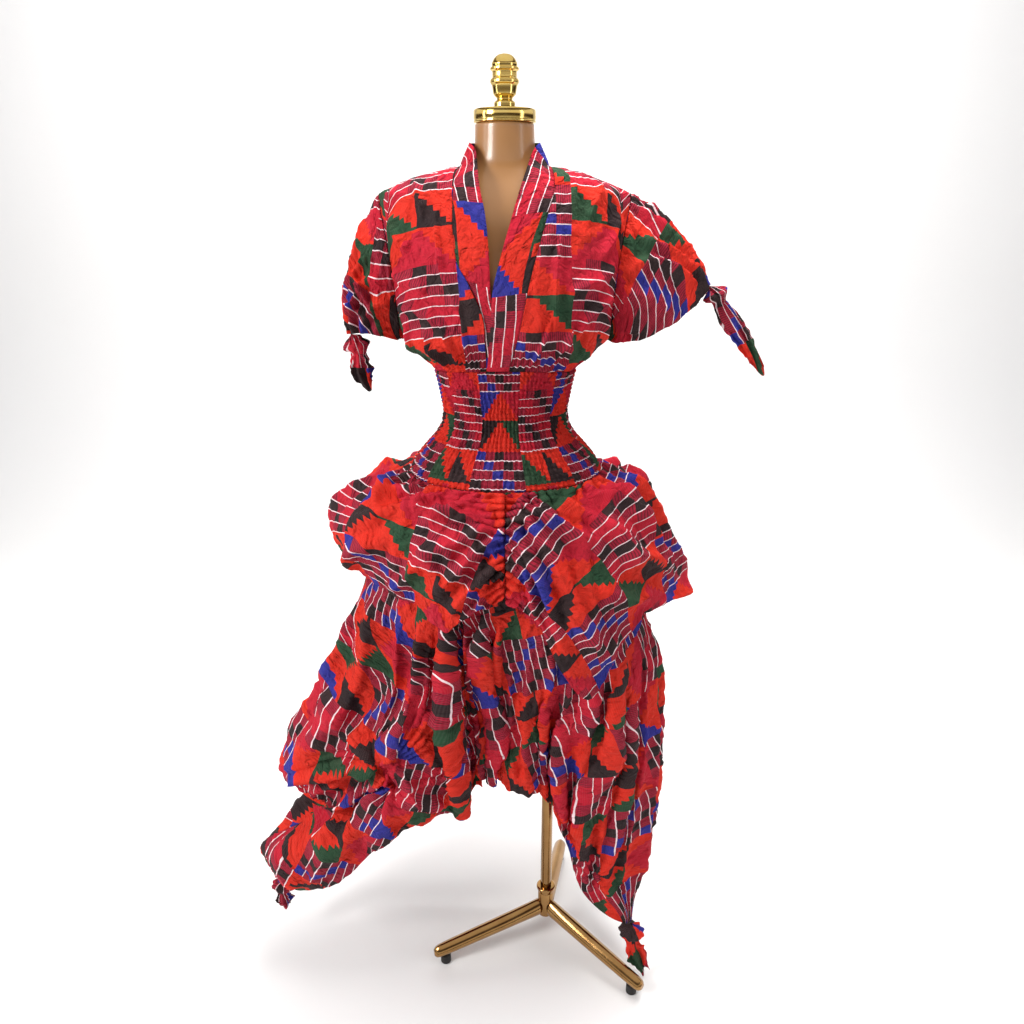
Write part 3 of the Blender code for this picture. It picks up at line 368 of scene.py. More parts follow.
# Gold plated steel: a darker, browner gold mirror, clouded in patches from 40 mm down to 0.3 mm
stand_plate, tree, shader = new_material("gold plated steel")
shader.inputs["Metallic"].default_value = 1.0
spots = add_node(tree, "ShaderNodeTexCoord")
rub = add_node(tree, "ShaderNodeTexNoise", {"Vector": spots.outputs["Object"], "Scale": 25.0, "Detail": 7.0})
tone = add_node(
    tree, "ShaderNodeMix", {"Factor": rub.outputs["Fac"], "A": colour("#8A6339"), "B": colour("#B08B5A")},
    data_type="RGBA",
)
tree.links.new(tone.outputs["Result"], shader.inputs["Base Color"])
shine = add_node(tree, "ShaderNodeMapRange", {"Value": rub.outputs["Fac"], "To Min": 0.07, "To Max": 0.2})
tree.links.new(shine.outputs["Result"], shader.inputs["Roughness"])

# Black rubber: matt, with a fine grain of 1 mm
pad_rubber, tree, shader = new_material("black rubber")
shader.inputs["Base Color"].default_value = colour("#1D1B1A")
shader.inputs["Roughness"].default_value = 0.7
spots = add_node(tree, "ShaderNodeTexCoord")
grit = add_node(
    tree, "ShaderNodeTexNoise", {"Vector": spots.outputs["Object"], "Scale": 900.0, "Detail": 2.0},
)
skin = add_node(tree, "ShaderNodeBump", {"Height": grit.outputs["Fac"], "Strength": 0.2, "Distance": 0.0003})
tree.links.new(skin.outputs["Normal"], shader.inputs["Normal"])

hub_top = COLLAR_BOTTOM - GAP
lip = 0.0008
STAND_PROFILES = {
    "pole": ((POLE_RADIUS, FORM_SECTIONS[0][0] - GAP), (POLE_RADIUS, 0.55), (POLE_RADIUS, COLLAR_TOP + GAP)),
    "stand_collar": (
        (POLE_RADIUS + 0.002, COLLAR_TOP), (COLLAR_RADIUS - 0.002, COLLAR_TOP - 0.0002),
        (COLLAR_RADIUS, COLLAR_TOP - 0.002), (COLLAR_RADIUS, COLLAR_BOTTOM + 0.002),
        (COLLAR_RADIUS - 0.002, COLLAR_BOTTOM),
    ),
    "stand_hub": (
        (HUB_RADIUS - lip, hub_top), (HUB_RADIUS, hub_top - lip), (HUB_RADIUS, hub_top - 0.006),
        (HUB_RADIUS - lip, hub_top - 0.0075), (HUB_RADIUS, hub_top - 0.009),
        (HUB_RADIUS, HUB_BOTTOM + HUB_TAPER), (HUB_RADIUS - HUB_TAPER, HUB_BOTTOM),
    ),
}
for node, profile in STAND_PROFILES.items():
    piece = drawn_piece(node + "_tube", rings_of(profile, POLE_X, sides=64), stand_plate, bevel=0.0006)
    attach(piece, "root")
    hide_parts(node)

LEG_SIDES = 48
for node, degrees in LEG_ANGLES.items():
    angle = math.radians(degrees)
    out = np.array([math.cos(angle), math.sin(angle), 0.0])
    across = np.array([-math.sin(angle), math.cos(angle), 0.0])
    turn = np.linspace(0, 2 * math.pi, LEG_SIDES, endpoint=False)
    start = HUB_RADIUS + GAP
    rings = []
    for share in np.concatenate([np.linspace(0, 0.94, 24), np.linspace(0.945, 1.0, 10)]):
        distance = start + (LEG_LENGTH - start) * share
        height = LEG_ROOT_Z + (LEG_END_Z - LEG_ROOT_Z) * distance / LEG_LENGTH
        centre = np.array([POLE_X, 0.0, height]) + out * distance
        wide = float(smooth(LEG_SECTIONS, 1, share))
        high = float(smooth(LEG_SECTIONS, 2, share))
        # a flat top with a soft ridge: the section is between a circle and a roof
        roof = 1 - 0.13 * np.abs(np.sin(2 * turn)) * (np.sin(turn) > 0)
        ring = centre + np.outer(wide * np.cos(turn) * roof, across)
        ring[:, 2] += high * np.sin(turn) * roof
        rings.append(ring)
    leg = drawn_piece(node + "_bar", rings, stand_plate, bevel=0.0008, angle=40.0)
    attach(leg, "root")
    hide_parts(node)
    distance = LEG_LENGTH * FOOT_SHARE
    top = LEG_ROOT_Z + (LEG_END_Z - LEG_ROOT_Z) * FOOT_SHARE - LEG_FOOT_DROP - GAP
    pad_profile = (
        (FOOT_RADIUS * 0.8, top), (FOOT_RADIUS, top - 0.0015), (FOOT_RADIUS, top - 0.004),
        (FOOT_RADIUS - 0.001, top - 0.005), (FOOT_RADIUS, top - 0.006), (FOOT_RADIUS, 0.0015),
        (FOOT_RADIUS - 0.0015, 0.0),
    )
    foot = drawn_piece(
        node.replace("leg", "foot") + "_pad",
        rings_of(pad_profile, POLE_X + out[0] * distance, out[1] * distance, 48),
        pad_rubber,
        bevel=0.0005,
    )
    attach(foot, "root")
    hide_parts(node.replace("leg", "foot"))


# Bodice: two crossed fronts and a back in printed cotton lawn, joined at shoulder and side seams, set
# full into the shirred waist so that they blouse over it. The cloth is washed, unlined and lightly crumpled.
WAIST_BOTTOM = 1.105
WAIST_TOP = 1.2872
WAIST_DIP = 0.013
SHOULDER_Z = 1.572
UNDERARM_Z = 1.345
NECK_SEAM_Z = 1.612
SHOULDER_CROWN = 0.006
SHOULDER_NECK_X = 0.072
# height, half width
BODICE_WIDTH = (
    (1.2875, 0.1220), (1.3020, 0.1410), (1.3200, 0.1560), (1.3450, 0.1730), (1.3600, 0.1830),
    (1.4000, 0.1980), (1.4500, 0.2080), (1.5000, 0.2120), (1.5400, 0.2100), (1.5720, 0.2055),
    (1.5862, 0.1740), (1.5980, 0.1410), (1.6062, 0.1080), (1.6120, 0.0740), (1.6320, 0.0655),
    (1.6480, 0.0580), (1.6600, 0.0545),
)
# height, half depth in front, half depth behind
BODICE_DEPTH = (
    (1.2875, 0.112, 0.108), (1.3200, 0.130, 0.124), (1.3600, 0.142, 0.134), (1.4200, 0.145, 0.138),
    (1.4800, 0.138, 0.134), (1.5300, 0.124, 0.120), (1.5700, 0.106, 0.102), (1.6000, 0.086, 0.082),
    (1.6200, 0.068, 0.066), (1.6360, 0.058, 0.058), (1.6600, 0.052, 0.052),
)
# height, distance of the armhole from the middle
ARMHOLE = (
    (1.2875, 0.1220), (1.3020, 0.1410), (1.3200, 0.1560), (1.3450, 0.1730), (1.4000, 0.1760),
    (1.4500, 0.1800), (1.5000, 0.1880), (1.5400, 0.1970), (1.5720, 0.2050),
)
SECTION_POWER = 2.2
ROW_CROWDING = 1.7
BACK_NECK_DROP = 0.012
TUCK_PANEL = 0.0037
TUCK_BAND = 0.0062
# side and height of the neck band's free edge, side and height of its seam, from the waist to the shoulder
BAND_RIGHT = (
    (-0.029, 1.3010, 0.006, 1.3010),
    (-0.022, 1.373, 0.024, 1.372),
    (-0.019, 1.424, 0.036, 1.432),
    (-0.008, 1.472, 0.050, 1.487),
    (0.008, 1.527, 0.064, 1.535),
    (0.028, 1.590, 0.077, 1.582),
    (0.046, 1.636, 0.075, 1.604),
    (0.0560, 1.6480, 0.0720, 1.612),
)
BAND_LEFT = (
    (-0.002, 1.3010, -0.030, 1.3010),
    (-0.008, 1.373, -0.031, 1.373),
    (-0.021, 1.424, -0.053, 1.436),
    (-0.023, 1.475, -0.074, 1.478),
    (-0.028, 1.533, -0.079, 1.535),
    (-0.038, 1.583, -0.078, 1.582),
    (-0.046, 1.636, -0.075, 1.604),
    (-0.0560, 1.6480, -0.0720, 1.612),
)
LAP_INSET = 0.0032
LAP_TOP = 1.47
LAP_FADE = 0.05

# Print: charted as blocks of two kinds. A block is 125 mm wide and 112 mm high.
PRINT_BLOCK = (0.125, 0.112)
PRINT_STEPS = 6
STRIPE_ROWS = 7
STRIPE_CELLS = 5
# white line as a share of its row, hatching lines in a cell and their share of its width
LINE_WIDTH = 0.092
HATCH_LINES = 7.0
HATCH_WIDTH = 0.42
INKS = {
    "orange": "#D62513", "crimson": "#BC0E2C", "madder": "#A61534", "black": "#1A171C",
    "blue": "#19298A", "green": "#10442C", "white": "#F6DFE2",
}
# Split squares of the stepped blocks: lower ink, upper ink, whether the steps fall to the right
SPLITS = (
    ("crimson", "orange", 0), ("crimson", "orange", 1), ("green", "orange", 1), ("black", "orange", 1),
    ("orange", "black", 0), ("orange", "green", 1), ("orange", "blue", 0), ("orange", "crimson", 1),
)
# Cells of the striped blocks, in the order in which they run along a row
CELLS = (
    ("madder", "blue", "madder", "black", "madder"),
    ("crimson", "crimson", "madder", "black", "madder"),
)


def print_cloth(name):
    """Screen printed cotton lawn: matt ink on a plain weave of 0.4 mm threads, drawn at 1.7 mm to show."""
    material, tree, shader = new_material(name)

    def calc(operation, first, second=0.0):
        return add_node(tree, "ShaderNodeMath", {0: first, 1: second}, operation=operation).outputs[0]

    def pick(factor, inks):
        ramp = add_node(tree, "ShaderNodeValToRGB", {0: factor})
        ramp.color_ramp.interpolation = "CONSTANT"
        for k, ink in enumerate(inks):
            place = k / len(inks)
            stop = ramp.color_ramp.elements[0] if k == 0 else ramp.color_ramp.elements.new(place)
            stop.position = place
            stop.color = ink
        if len(ramp.color_ramp.elements) > len(inks):
            ramp.color_ramp.elements.remove(ramp.color_ramp.elements[-1])
        return ramp.outputs["Color"]

    def blend(factor, first, second):
        node = add_node(tree, "ShaderNodeMix", {"Factor": factor, "A": first, "B": second}, data_type="RGBA")
        return node.outputs["Result"]

    cloth = add_node(tree, "ShaderNodeUVMap", uv_map="cloth").outputs["UV"]
    # the screen print wanders by a millimetre or so off true, as cloth does under the screen
    wander = add_node(tree, "ShaderNodeTexNoise", {"Vector": cloth, "Scale": 22.0, "Detail": 2.0})
    offset = add_node(
        tree, "ShaderNodeVectorMath", {0: wander.outputs["Color"], 1: (0.5, 0.5, 0.5)}, operation="SUBTRACT",
    )
    small = add_node(tree, "ShaderNodeVectorMath", {0: offset.outputs[0], "Scale": 0.006}, operation="SCALE")
    place = add_node(tree, "ShaderNodeVectorMath", {0: cloth, 1: small.outputs[0]}, operation="ADD")
    axes = add_node(tree, "ShaderNodeSeparateXYZ", {0: place.outputs[0]})
    across = calc("DIVIDE", axes.outputs[0], PRINT_BLOCK[0])
    up = calc("DIVIDE", axes.outputs[1], PRINT_BLOCK[1])
    column = calc("FLOOR", across)
    row = calc("FLOOR", up)
    in_across = calc("SUBTRACT", across, column)
    in_up = calc("SUBTRACT", up, row)
    stepped = calc("FLOORED_MODULO", calc("ADD", column, row), 2.0)
    kind = calc("FLOORED_MODULO", column, 2.0)

    # stepped blocks: four squares, each split by a stair of six steps
    half_across = calc("MULTIPLY", in_across, 2.0)
    half_up = calc("MULTIPLY", in_up, 2.0)
    square_across = calc("FLOOR", half_across)
    square_up = calc("FLOOR", half_up)
    a = calc("SUBTRACT", half_across, square_across)
    b = calc("SUBTRACT", half_up, square_up)
    step = calc("FLOOR", calc("MULTIPLY", a, float(PRINT_STEPS)))
    stair = calc("DIVIDE", calc("ADD", step, 0.5), float(PRINT_STEPS))
    square = calc("ADD", square_across, calc("MULTIPLY", square_up, 2.0))
    which = calc("ADD", square, calc("MULTIPLY", kind, 4.0))
    which = calc("DIVIDE", calc("ADD", which, 0.5), float(len(SPLITS)))
    falls = pick(which, [(s[2], s[2], s[2], 1.0) for s in SPLITS])
    lower_ink = pick(which, [colour(INKS[s[0]]) for s in SPLITS])
    upper_ink = pick(which, [colour(INKS[s[1]]) for s in SPLITS])
    falling = calc("MULTIPLY", calc("SUBTRACT", 1.0, stair), falls)
    rising = calc("MULTIPLY", stair, calc("SUBTRACT", 1.0, falls))
    edge = calc("ADD", falling, rising)
    stepped_ink = blend(calc("GREATER_THAN", b, edge), lower_ink, upper_ink)

    # striped blocks: seven rows between white lines, with cells that shift by one from row to row
    rows = calc("MULTIPLY", in_up, float(STRIPE_ROWS))
    line_row = calc("FLOOR", rows)
    in_row = calc("SUBTRACT", rows, line_row)
    cells = calc("MULTIPLY", in_across, float(STRIPE_CELLS))
    cell = calc("FLOOR", cells)
    in_cell = calc("SUBTRACT", cells, cell)
    turn_by = calc("FLOORED_MODULO", calc("ADD", cell, line_row), float(STRIPE_CELLS))
    turn_by = calc("DIVIDE", calc("ADD", turn_by, 0.5), float(STRIPE_CELLS))
    plain_a = pick(turn_by, [colour(INKS[ink]) for ink in CELLS[0]])
    plain_b = pick(turn_by, [colour(INKS[ink]) for ink in CELLS[1]])
    hatched_a = pick(turn_by, [(float(ink == "madder"),) * 3 + (1.0,) for ink in CELLS[0]])
    hatched_b = pick(turn_by, [(float(ink == "madder"),) * 3 + (1.0,) for ink in CELLS[1]])
    stripe_ink = blend(kind, plain_b, plain_a)
    hatched = blend(kind, hatched_b, hatched_a)
    hatch = calc("LESS_THAN", calc("FRACT", calc("MULTIPLY", in_cell, HATCH_LINES)), HATCH_WIDTH)
    hatch = calc("MULTIPLY", hatch, hatched)
    stripe_ink = blend(calc("MULTIPLY", hatch, 0.66), stripe_ink, colour("#3E0A18"))
    line = calc("LESS_THAN", in_row, LINE_WIDTH)
    stripe_ink = blend(line, stripe_ink, colour(INKS["white"]))
    ink = blend(stepped, stepped_ink, stripe_ink)

    # wear: ink a little faded in clouds 40 mm across. The colour is also mixed a little paler where the
    # weave's threads stand up
    fade = add_node(tree, "ShaderNodeTexNoise", {"Vector": cloth, "Scale": 26.0, "Detail": 5.0})
    ink = blend(calc("MULTIPLY", fade.outputs["Fac"], 0.05), ink, colour("#E8A090"))
    warp, weft = (
        add_node(
            tree, "ShaderNodeTexWave", {"Vector": cloth, "Scale": 180.0, "Distortion": 0.6},
            wave_type="BANDS", bands_direction=way,
        )
        for way in ("X", "Y")
    )
    weave = calc("MULTIPLY", warp.outputs["Fac"], weft.outputs["Fac"])
    ink = blend(calc("MULTIPLY", weave, 0.03), ink, colour("#FFF0E8"))
    tree.links.new(ink, shader.inputs["Base Color"])

    # fine crumples about 18 mm apart and sharper pressed creases about 48 mm apart, with the weave over them
    normal = None
    for spacing, detail, rough, wavy, height in (
        (0.0182, 3.0, 0.55, 0.9, 0.011), (0.0476, 1.5, 0.5, 1.4, 0.017),
    ):
        scale = float(round(1 / spacing))
        look = {"Scale": scale, "Detail": detail, "Roughness": rough, "Distortion": wavy}
        cloud = add_node(tree, "ShaderNodeTexNoise", {"Vector": cloth, **look})
        ridges = calc("ABSOLUTE", calc("SUBTRACT", cloud.outputs["Fac"], 0.5))
        bump = add_node(tree, "ShaderNodeBump", {"Height": ridges, "Strength": 1.0, "Distance": height})
        if normal:
            tree.links.new(normal, bump.inputs["Normal"])
        normal = bump.outputs["Normal"]
    threads = add_node(
        tree, "ShaderNodeBump", {"Height": weave, "Strength": 0.25, "Distance": 0.0003, "Normal": normal},
    )
    tree.links.new(threads.outputs["Normal"], shader.inputs["Normal"])
    shader.inputs["Roughness"].default_value = 0.82
    shader.inputs["Specular IOR Level"].default_value = 0.12
    return material


cotton = print_cloth("printed cotton lawn, 0.4 mm weave")


def crumple_noise(u, v, seed):
    """Smooth random waves over the cloth, one unit apart."""
    column = np.floor(u).astype(np.int64)
    row = np.floor(v).astype(np.int64)
    fu = u - column
    fv = v - row

    def corner(i, j):
        mix = ((column + i) * 374761393 + (row + j) * 668265263 + seed * 974711) & 0xFFFFFFFF
        mix = ((mix ^ (mix >> 13)) * 1274126177) & 0xFFFFFFFF
        angle = (mix ^ (mix >> 16)) * (2 * math.pi / 2 ** 32)
        return np.cos(angle) * (fu - i) + np.sin(angle) * (fv - j)

    su = fu ** 3 * (fu * (fu * 6 - 15) + 10)
    sv = fv ** 3 * (fv * (fv * 6 - 15) + 10)
    low = corner(0, 0) + (corner(1, 0) - corner(0, 0)) * su
    high = corner(0, 1) + (corner(1, 1) - corner(0, 1)) * su
    return low + (high - low) * sv


def crumples(u, v, seed, strength=1.0, stretch=0.6):
    """Creases of washed cotton: sharp small ridges at three sizes, longer down the cloth than across."""
    lean = u + 0.012 * crumple_noise(u / 0.05, v / 0.05, seed + 7)
    total = 0.0
    for k, (size, height) in enumerate(((0.052, 0.0030), (0.026, 0.0017), (0.0125, 0.0008))):
        ridge = np.abs(crumple_noise(lean / size, v * stretch / size, seed + k))
        total = total + height * (0.55 - 2.2 * ridge)
    return strength * total


def creases(across, down, table):
    """Main creases given one by one: each row runs from one point to another and has a width and a height."""
    total = np.zeros(np.broadcast(across, down).shape)
    for k, (a0, d0, a1, d1, width, height) in enumerate(table):
        run_a = a1 - a0
        run_d = d1 - d0
        length = math.hypot(run_a, run_d)
        along = ((across - a0) * run_a + (down - d0) * run_d) / length ** 2
        aside = ((across - a0) * run_d - (down - d0) * run_a) / length
        aside = aside + 0.35 * width * np.sin(along * 5.1 + 1.7 * k)
        shape = np.abs(1.15 * aside / width) ** 1.5
        total += height * (1 - 0.75 * shape) * np.exp(-shape) * ease(along / 0.22) * ease((1 - along) / 0.22)
    return total


def outward(grid, centres):
    """Unit normals of a grid of points, pointing away from the centre of each row."""
    down = np.gradient(grid, axis=0)
    across = np.gradient(grid, axis=1)
    normal = np.cross(across, down)
    normal /= np.maximum(np.linalg.norm(normal, axis=2), 1e-9)[:, :, None]
    away = np.sum(normal * (grid - centres[:, None, :])) >= 0
    return normal if away else -normal


def row_centres(grid):
    """The middle of the body at the height of each row."""
    centres = np.zeros((grid.shape[0], 3))
    centres[:, 2] = grid[:, :, 2].mean(axis=1)
    return centres


def sew_sheet(name, grid, cloth_uv, centres=None, seam=None, thickness=0.0011):
    """A sheet of cloth from a grid of points, with its place on the flat cloth in metres as its UV map."""
    rows, columns = grid.shape[:2]
    centres = row_centres(grid) if centres is None else centres
    index = np.arange(rows * columns).reshape(rows, columns)
    faces = np.stack([index[:-1, :-1], index[:-1, 1:], index[1:, 1:], index[1:, :-1]], axis=2).reshape(-1, 4)
    down = grid[1:, :-1] - grid[:-1, :-1]
    across = grid[:-1, 1:] - grid[:-1, :-1]
    facing = np.sum(np.cross(across, down) * (grid[:-1, :-1] - centres[:-1, None, :]))
    if facing < 0:
        faces = faces[:, ::-1]
    mesh = bpy.data.meshes.new(name)
    mesh.from_pydata(placed(grid.reshape(-1, 3)).tolist(), [], faces.tolist())
    layer = mesh.uv_layers.new(name="cloth")
    corners = np.zeros(len(mesh.loops), dtype=np.int64)
    mesh.loops.foreach_get("vertex_index", corners)
    layer.data.foreach_set("uv", cloth_uv.reshape(-1, 2)[corners].ravel())
    piece = bpy.data.objects.new(name, mesh)
    bpy.context.scene.collection.objects.link(piece)
    if seam:
        body = bmesh.new()
        body.from_mesh(mesh)
        bmesh.ops.remove_doubles(body, verts=body.verts, dist=0.00002)
        body.to_mesh(mesh)
        body.free()
    bpy.ops.object.select_all(action="DESELECT")
    piece.select_set(True)
    bpy.context.view_layer.objects.active = piece
    wall = piece.modifiers.new("cloth thickness", "SOLIDIFY")
    wall.thickness = thickness
    wall.offset = -1.0
    bpy.ops.object.modifier_apply(modifier=wall.name)
    bpy.ops.object.shade_smooth()
    mesh.materials.append(cotton)
    return piece


def turned_print(u, v, degrees, shift=(0.0, 0.0)):
    """Lays the cloth's own axes over a piece: the grain turned by some degrees, and moved."""
    c = np.cos(np.radians(degrees))
    s = np.sin(np.radians(degrees))
    return np.stack([u * c + v * s + shift[0], v * c - u * s + shift[1]], axis=2)


def cloth_measure(grid, reference):
    """Distances over the cloth: across each row from one column, and up each column."""
    down = np.zeros(grid.shape[:2])
    down[1:] = np.cumsum(np.linalg.norm(np.diff(grid, axis=0), axis=2), axis=0)
    step = np.linalg.norm(np.diff(grid, axis=1), axis=2)
    slope = np.diff(down, axis=1)
    step = np.sqrt(np.maximum(step ** 2 - slope ** 2, (0.75 * step) ** 2))
    across = np.zeros(grid.shape[:2])
    across[:, 1:] = np.cumsum(step, axis=1)
    return across - across[:, reference:reference + 1], -down


def fan_measure(grid, reference, start):
    """Places on a cloth cut as part of a ring, which widens by as much as its rows do on the body."""
    across, down = cloth_measure(grid, reference)
    radius = start - down
    spread = np.diff(across, axis=1).sum(axis=0) / radius[:, 1:].sum(axis=0)
    fan = np.concatenate([[0.0], np.cumsum(spread)])
    fan = (fan - fan[reference])[None, :]
    return radius * np.sin(fan), -radius * np.cos(fan) + start


def gathered_measure(grid, reference, own):
    """Places on a straight cloth gathered at its top: its threads mostly run down the columns."""
    across, down = cloth_measure(grid, reference)
    return 1.2 * (across.mean(axis=0)[None, :] * (1 - own) + across * own), 1.08 * down


def radiating(angles, levels, table, reach, drop):
    """Sharp folds that run out in all directions from a point where the cloth is caught up."""
    total = np.zeros((len(levels), len(angles)))
    for angle, level, count, depth, near, far in table:
        across = np.radians(angles - angle)[None, :] * reach
        down = (levels - level)[:, None] * drop
        turn = np.arctan2(down, across)
        away = np.hypot(across, down)
        turn = turn + 0.25 * np.sin(away / 0.045 + 3.0 * turn)
        ridge = 1 - 2 * np.abs(np.sin(0.5 * count * turn + 0.6 * np.sin(2.0 * turn)))
        total += depth * ridge * ease(away / near) * ease((far - away) / (0.6 * far))
    return total


def pipe_folds(grid, angles, levels, table):
    """Deep rounded folds that hang down the cloth and lean over each other a little."""
    normal = outward(grid, row_centres(grid))
    side = np.gradient(grid, axis=1)
    side /= np.maximum(np.linalg.norm(side, axis=2), 1e-9)[:, :, None]
    a = np.broadcast_to(angles[None, :], grid.shape[:2])
    l = np.broadcast_to(levels[:, None], grid.shape[:2])
    push = np.zeros(grid.shape[:2])
    slide = np.zeros(grid.shape[:2])
    for first, last, count, depth, start, lean in table:
        share = (a - first) / (last - first) + lean * (l - start) + 0.035 * np.sin(7.0 * l + 3.0 * count)
        inside = ease(share * 5.0) * ease((1 - share) * 5.0) * ease((l - start) / 0.22)
        phase = 2 * math.pi * count * share
        uneven = 0.75 + 0.35 * np.sin(1.9 * phase / (2 * math.pi) + 4.0 * l)
        push += depth * inside * uneven * np.cos(phase)
        slide += 0.5 * depth * inside * uneven * np.sin(2 * phase)
    return grid + normal * push[:, :, None] + side * slide[:, :, None]


def uneven_hem(grid, levels, seed, depth):
    """A free edge never hangs level: it rises and drops a little along its way."""
    run = grid[-1] - grid[-8]
    run /= np.linalg.norm(run, axis=1)[:, None]
    across = np.linspace(0, 1, grid.shape[1])
    wave = crumple_noise(across * 13.0, across * 0.0 + 0.5, seed)
    wave = wave + 0.6 * crumple_noise(across * 29.0, across * 0.0 + 4.5, seed)
    fade = ease((levels - 0.72) / 0.28)[:, None]
    edge = ease(across / 0.03) * ease((1 - across) / 0.03)
    return grid + run[None, :, :] * (depth * fade * (wave * edge)[None, :])[:, :, None]


def declare(piece, node):
    """Puts a sheet of the dress under the root body and hides the imported part of the same node."""
    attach(piece, "root")
    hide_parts(node)


def form_size(z):
    """Half width and half depth of the form at a height."""
    heights = [row[0] for row in FORM_SECTIONS]
    half_width = np.interp(z, heights, [row[1] for row in FORM_SECTIONS])
    return half_width, np.interp(z, heights, [row[2] for row in FORM_SECTIONS])


def front_depth(x, z, side):
    """Distance of the bodice surface from the middle plane: side -1 is the front, 1 the back."""
    shoulder = np.interp(z, [row[0] for row in BODICE_WIDTH], [row[1] for row in BODICE_WIDTH])
    width = np.where(np.asarray(z) > SHOULDER_Z, shoulder, smooth(BODICE_WIDTH, 1, z))
    depth = smooth(BODICE_DEPTH, 1 if side < 0 else 2, z)
    share = np.clip(np.abs(x) / width, 0.0, 1.0)
    return side * depth * np.sqrt(1 - share ** SECTION_POWER)


def waist_depth(x, z, stand_off):
    """Distance from the middle plane of a surface that stands off the form at the waist."""
    half_width, half_depth = form_size(z)
    return (half_depth + stand_off) * np.sqrt(np.clip(1 - (x / (half_width + stand_off)) ** 2, 0.0, 1.0))


def waist_dip(x):
    """The waist seam climbs a little towards the middle of the front."""
    return WAIST_DIP * np.clip(1 - (x / 0.122) ** 2, 0.0, 1.0)


def armhole_x(z):
    """Distance of the armhole seam from the middle at a height."""
    return smooth(ARMHOLE, 1, z)


def girth(x, z, side):
    """Length of cloth from the middle plane to a point, round the bodice at one height."""
    steps = 10
    total = np.zeros(x.shape)
    last_x = np.zeros(x.shape)
    last_y = front_depth(last_x, z, side)
    for k in range(1, steps + 1):
        next_x = x * k / steps
        next_y = front_depth(next_x, z, side)
        total = total + np.sign(x) * np.hypot(next_x - last_x, next_y - last_y)
        last_x, last_y = next_x, next_y
    return total


def rise(x, z, side):
    """Length of cloth up the bodice from just above the waist to a point."""
    steps = 10
    base = np.full(z.shape, WAIST_TOP + 0.02)
    total = np.zeros(z.shape)
    last_z, last_y = base, front_depth(x * 0.8, base, side)
    for k in range(1, steps + 1):
        next_z = base + (z - base) * k / steps
        next_y = front_depth(x * 0.8, next_z, side)
        total = total + np.sign(z - base) * np.hypot(next_z - last_z, next_y - last_y)
        last_z, last_y = next_z, next_y
    return total


def edge_fade(rows, columns, first_row=0.0, last_row=0.0, first_column=0.0, last_column=0.0):
    """One inside a panel and zero along its seams, over the given shares of its size."""
    v = np.linspace(0, 1, rows)[:, None]
    u = np.linspace(0, 1, columns)[None, :]
    fade = np.ones((rows, columns))
    for share, place in ((first_row, v), (last_row, 1 - v), (first_column, u), (last_column, 1 - u)):
        if share:
            fade = fade * ease(place / share)
    return fade


FRONT_ROWS = 98
FRONT_COLUMNS = 84
SHOULDER_SEAM = 0.0002
# Main creases of the right front and the left front: across from the neck seam and up from the waist,
# both as shares of the panel, to the other end; width and height in the same shares and in metres
FRONT_CREASES = {
    "bodice_front_right": (
        (0.95, 0.62, 0.40, 0.30, 0.06, 0.0075), (0.98, 0.48, 0.55, 0.16, 0.05, 0.0065),
        (0.20, 0.60, 0.35, 0.10, 0.05, 0.0045), (0.90, 0.85, 0.70, 0.55, 0.06, 0.0060),
        (0.60, 0.98, 0.48, 0.62, 0.06, 0.0040), (0.45, 0.16, 0.92, 0.10, 0.05, 0.0060),
        (0.75, 0.20, 0.62, 0.02, 0.03, 0.0050), (0.30, 0.22, 0.24, 0.02, 0.03, 0.0045),
        (0.52, 0.24, 0.50, 0.02, 0.03, 0.0045), (0.90, 0.34, 0.99, 0.12, 0.04, 0.0055),
    ),
    "bodice_front_left": (
        (0.97, 0.60, 0.45, 0.34, 0.06, 0.0080), (0.98, 0.42, 0.42, 0.20, 0.06, 0.0070),
        (0.28, 0.66, 0.18, 0.16, 0.05, 0.0045), (0.92, 0.84, 0.66, 0.58, 0.06, 0.0060),
        (0.50, 0.98, 0.44, 0.66, 0.06, 0.0040), (0.35, 0.14, 0.90, 0.16, 0.05, 0.0065),
        (0.68, 0.22, 0.60, 0.02, 0.03, 0.0050), (0.22, 0.20, 0.26, 0.02, 0.03, 0.0045),
        (0.44, 0.24, 0.42, 0.02, 0.03, 0.0045), (0.85, 0.30, 0.97, 0.08, 0.04, 0.0055),
    ),
}


def seam_line(table, v):
    """Side and height of the seam between a front and its neck band, from the waist to the shoulder."""
    keyed = [(i / (len(table) - 1),) + row for i, row in enumerate(table)]
    return smooth(keyed, 3, v), smooth(keyed, 4, v)


def waist_gathers(u, v, count, seed, depth=0.0034):
    """Small uneven gathers that rise from the waist seam and die out upwards."""
    wave = np.sin(2 * math.pi * (count * u + 0.9 * crumple_noise(u * 5.0, v * 0.0 + 0.5, seed)))
    reach = 0.10 + 0.10 * crumple_noise(u * 9.0, v * 0.0 + 3.5, seed + 1)
    return depth * wave * np.clip(1 - v / np.maximum(reach, 0.03), 0, 1) * ease(v / 0.02)


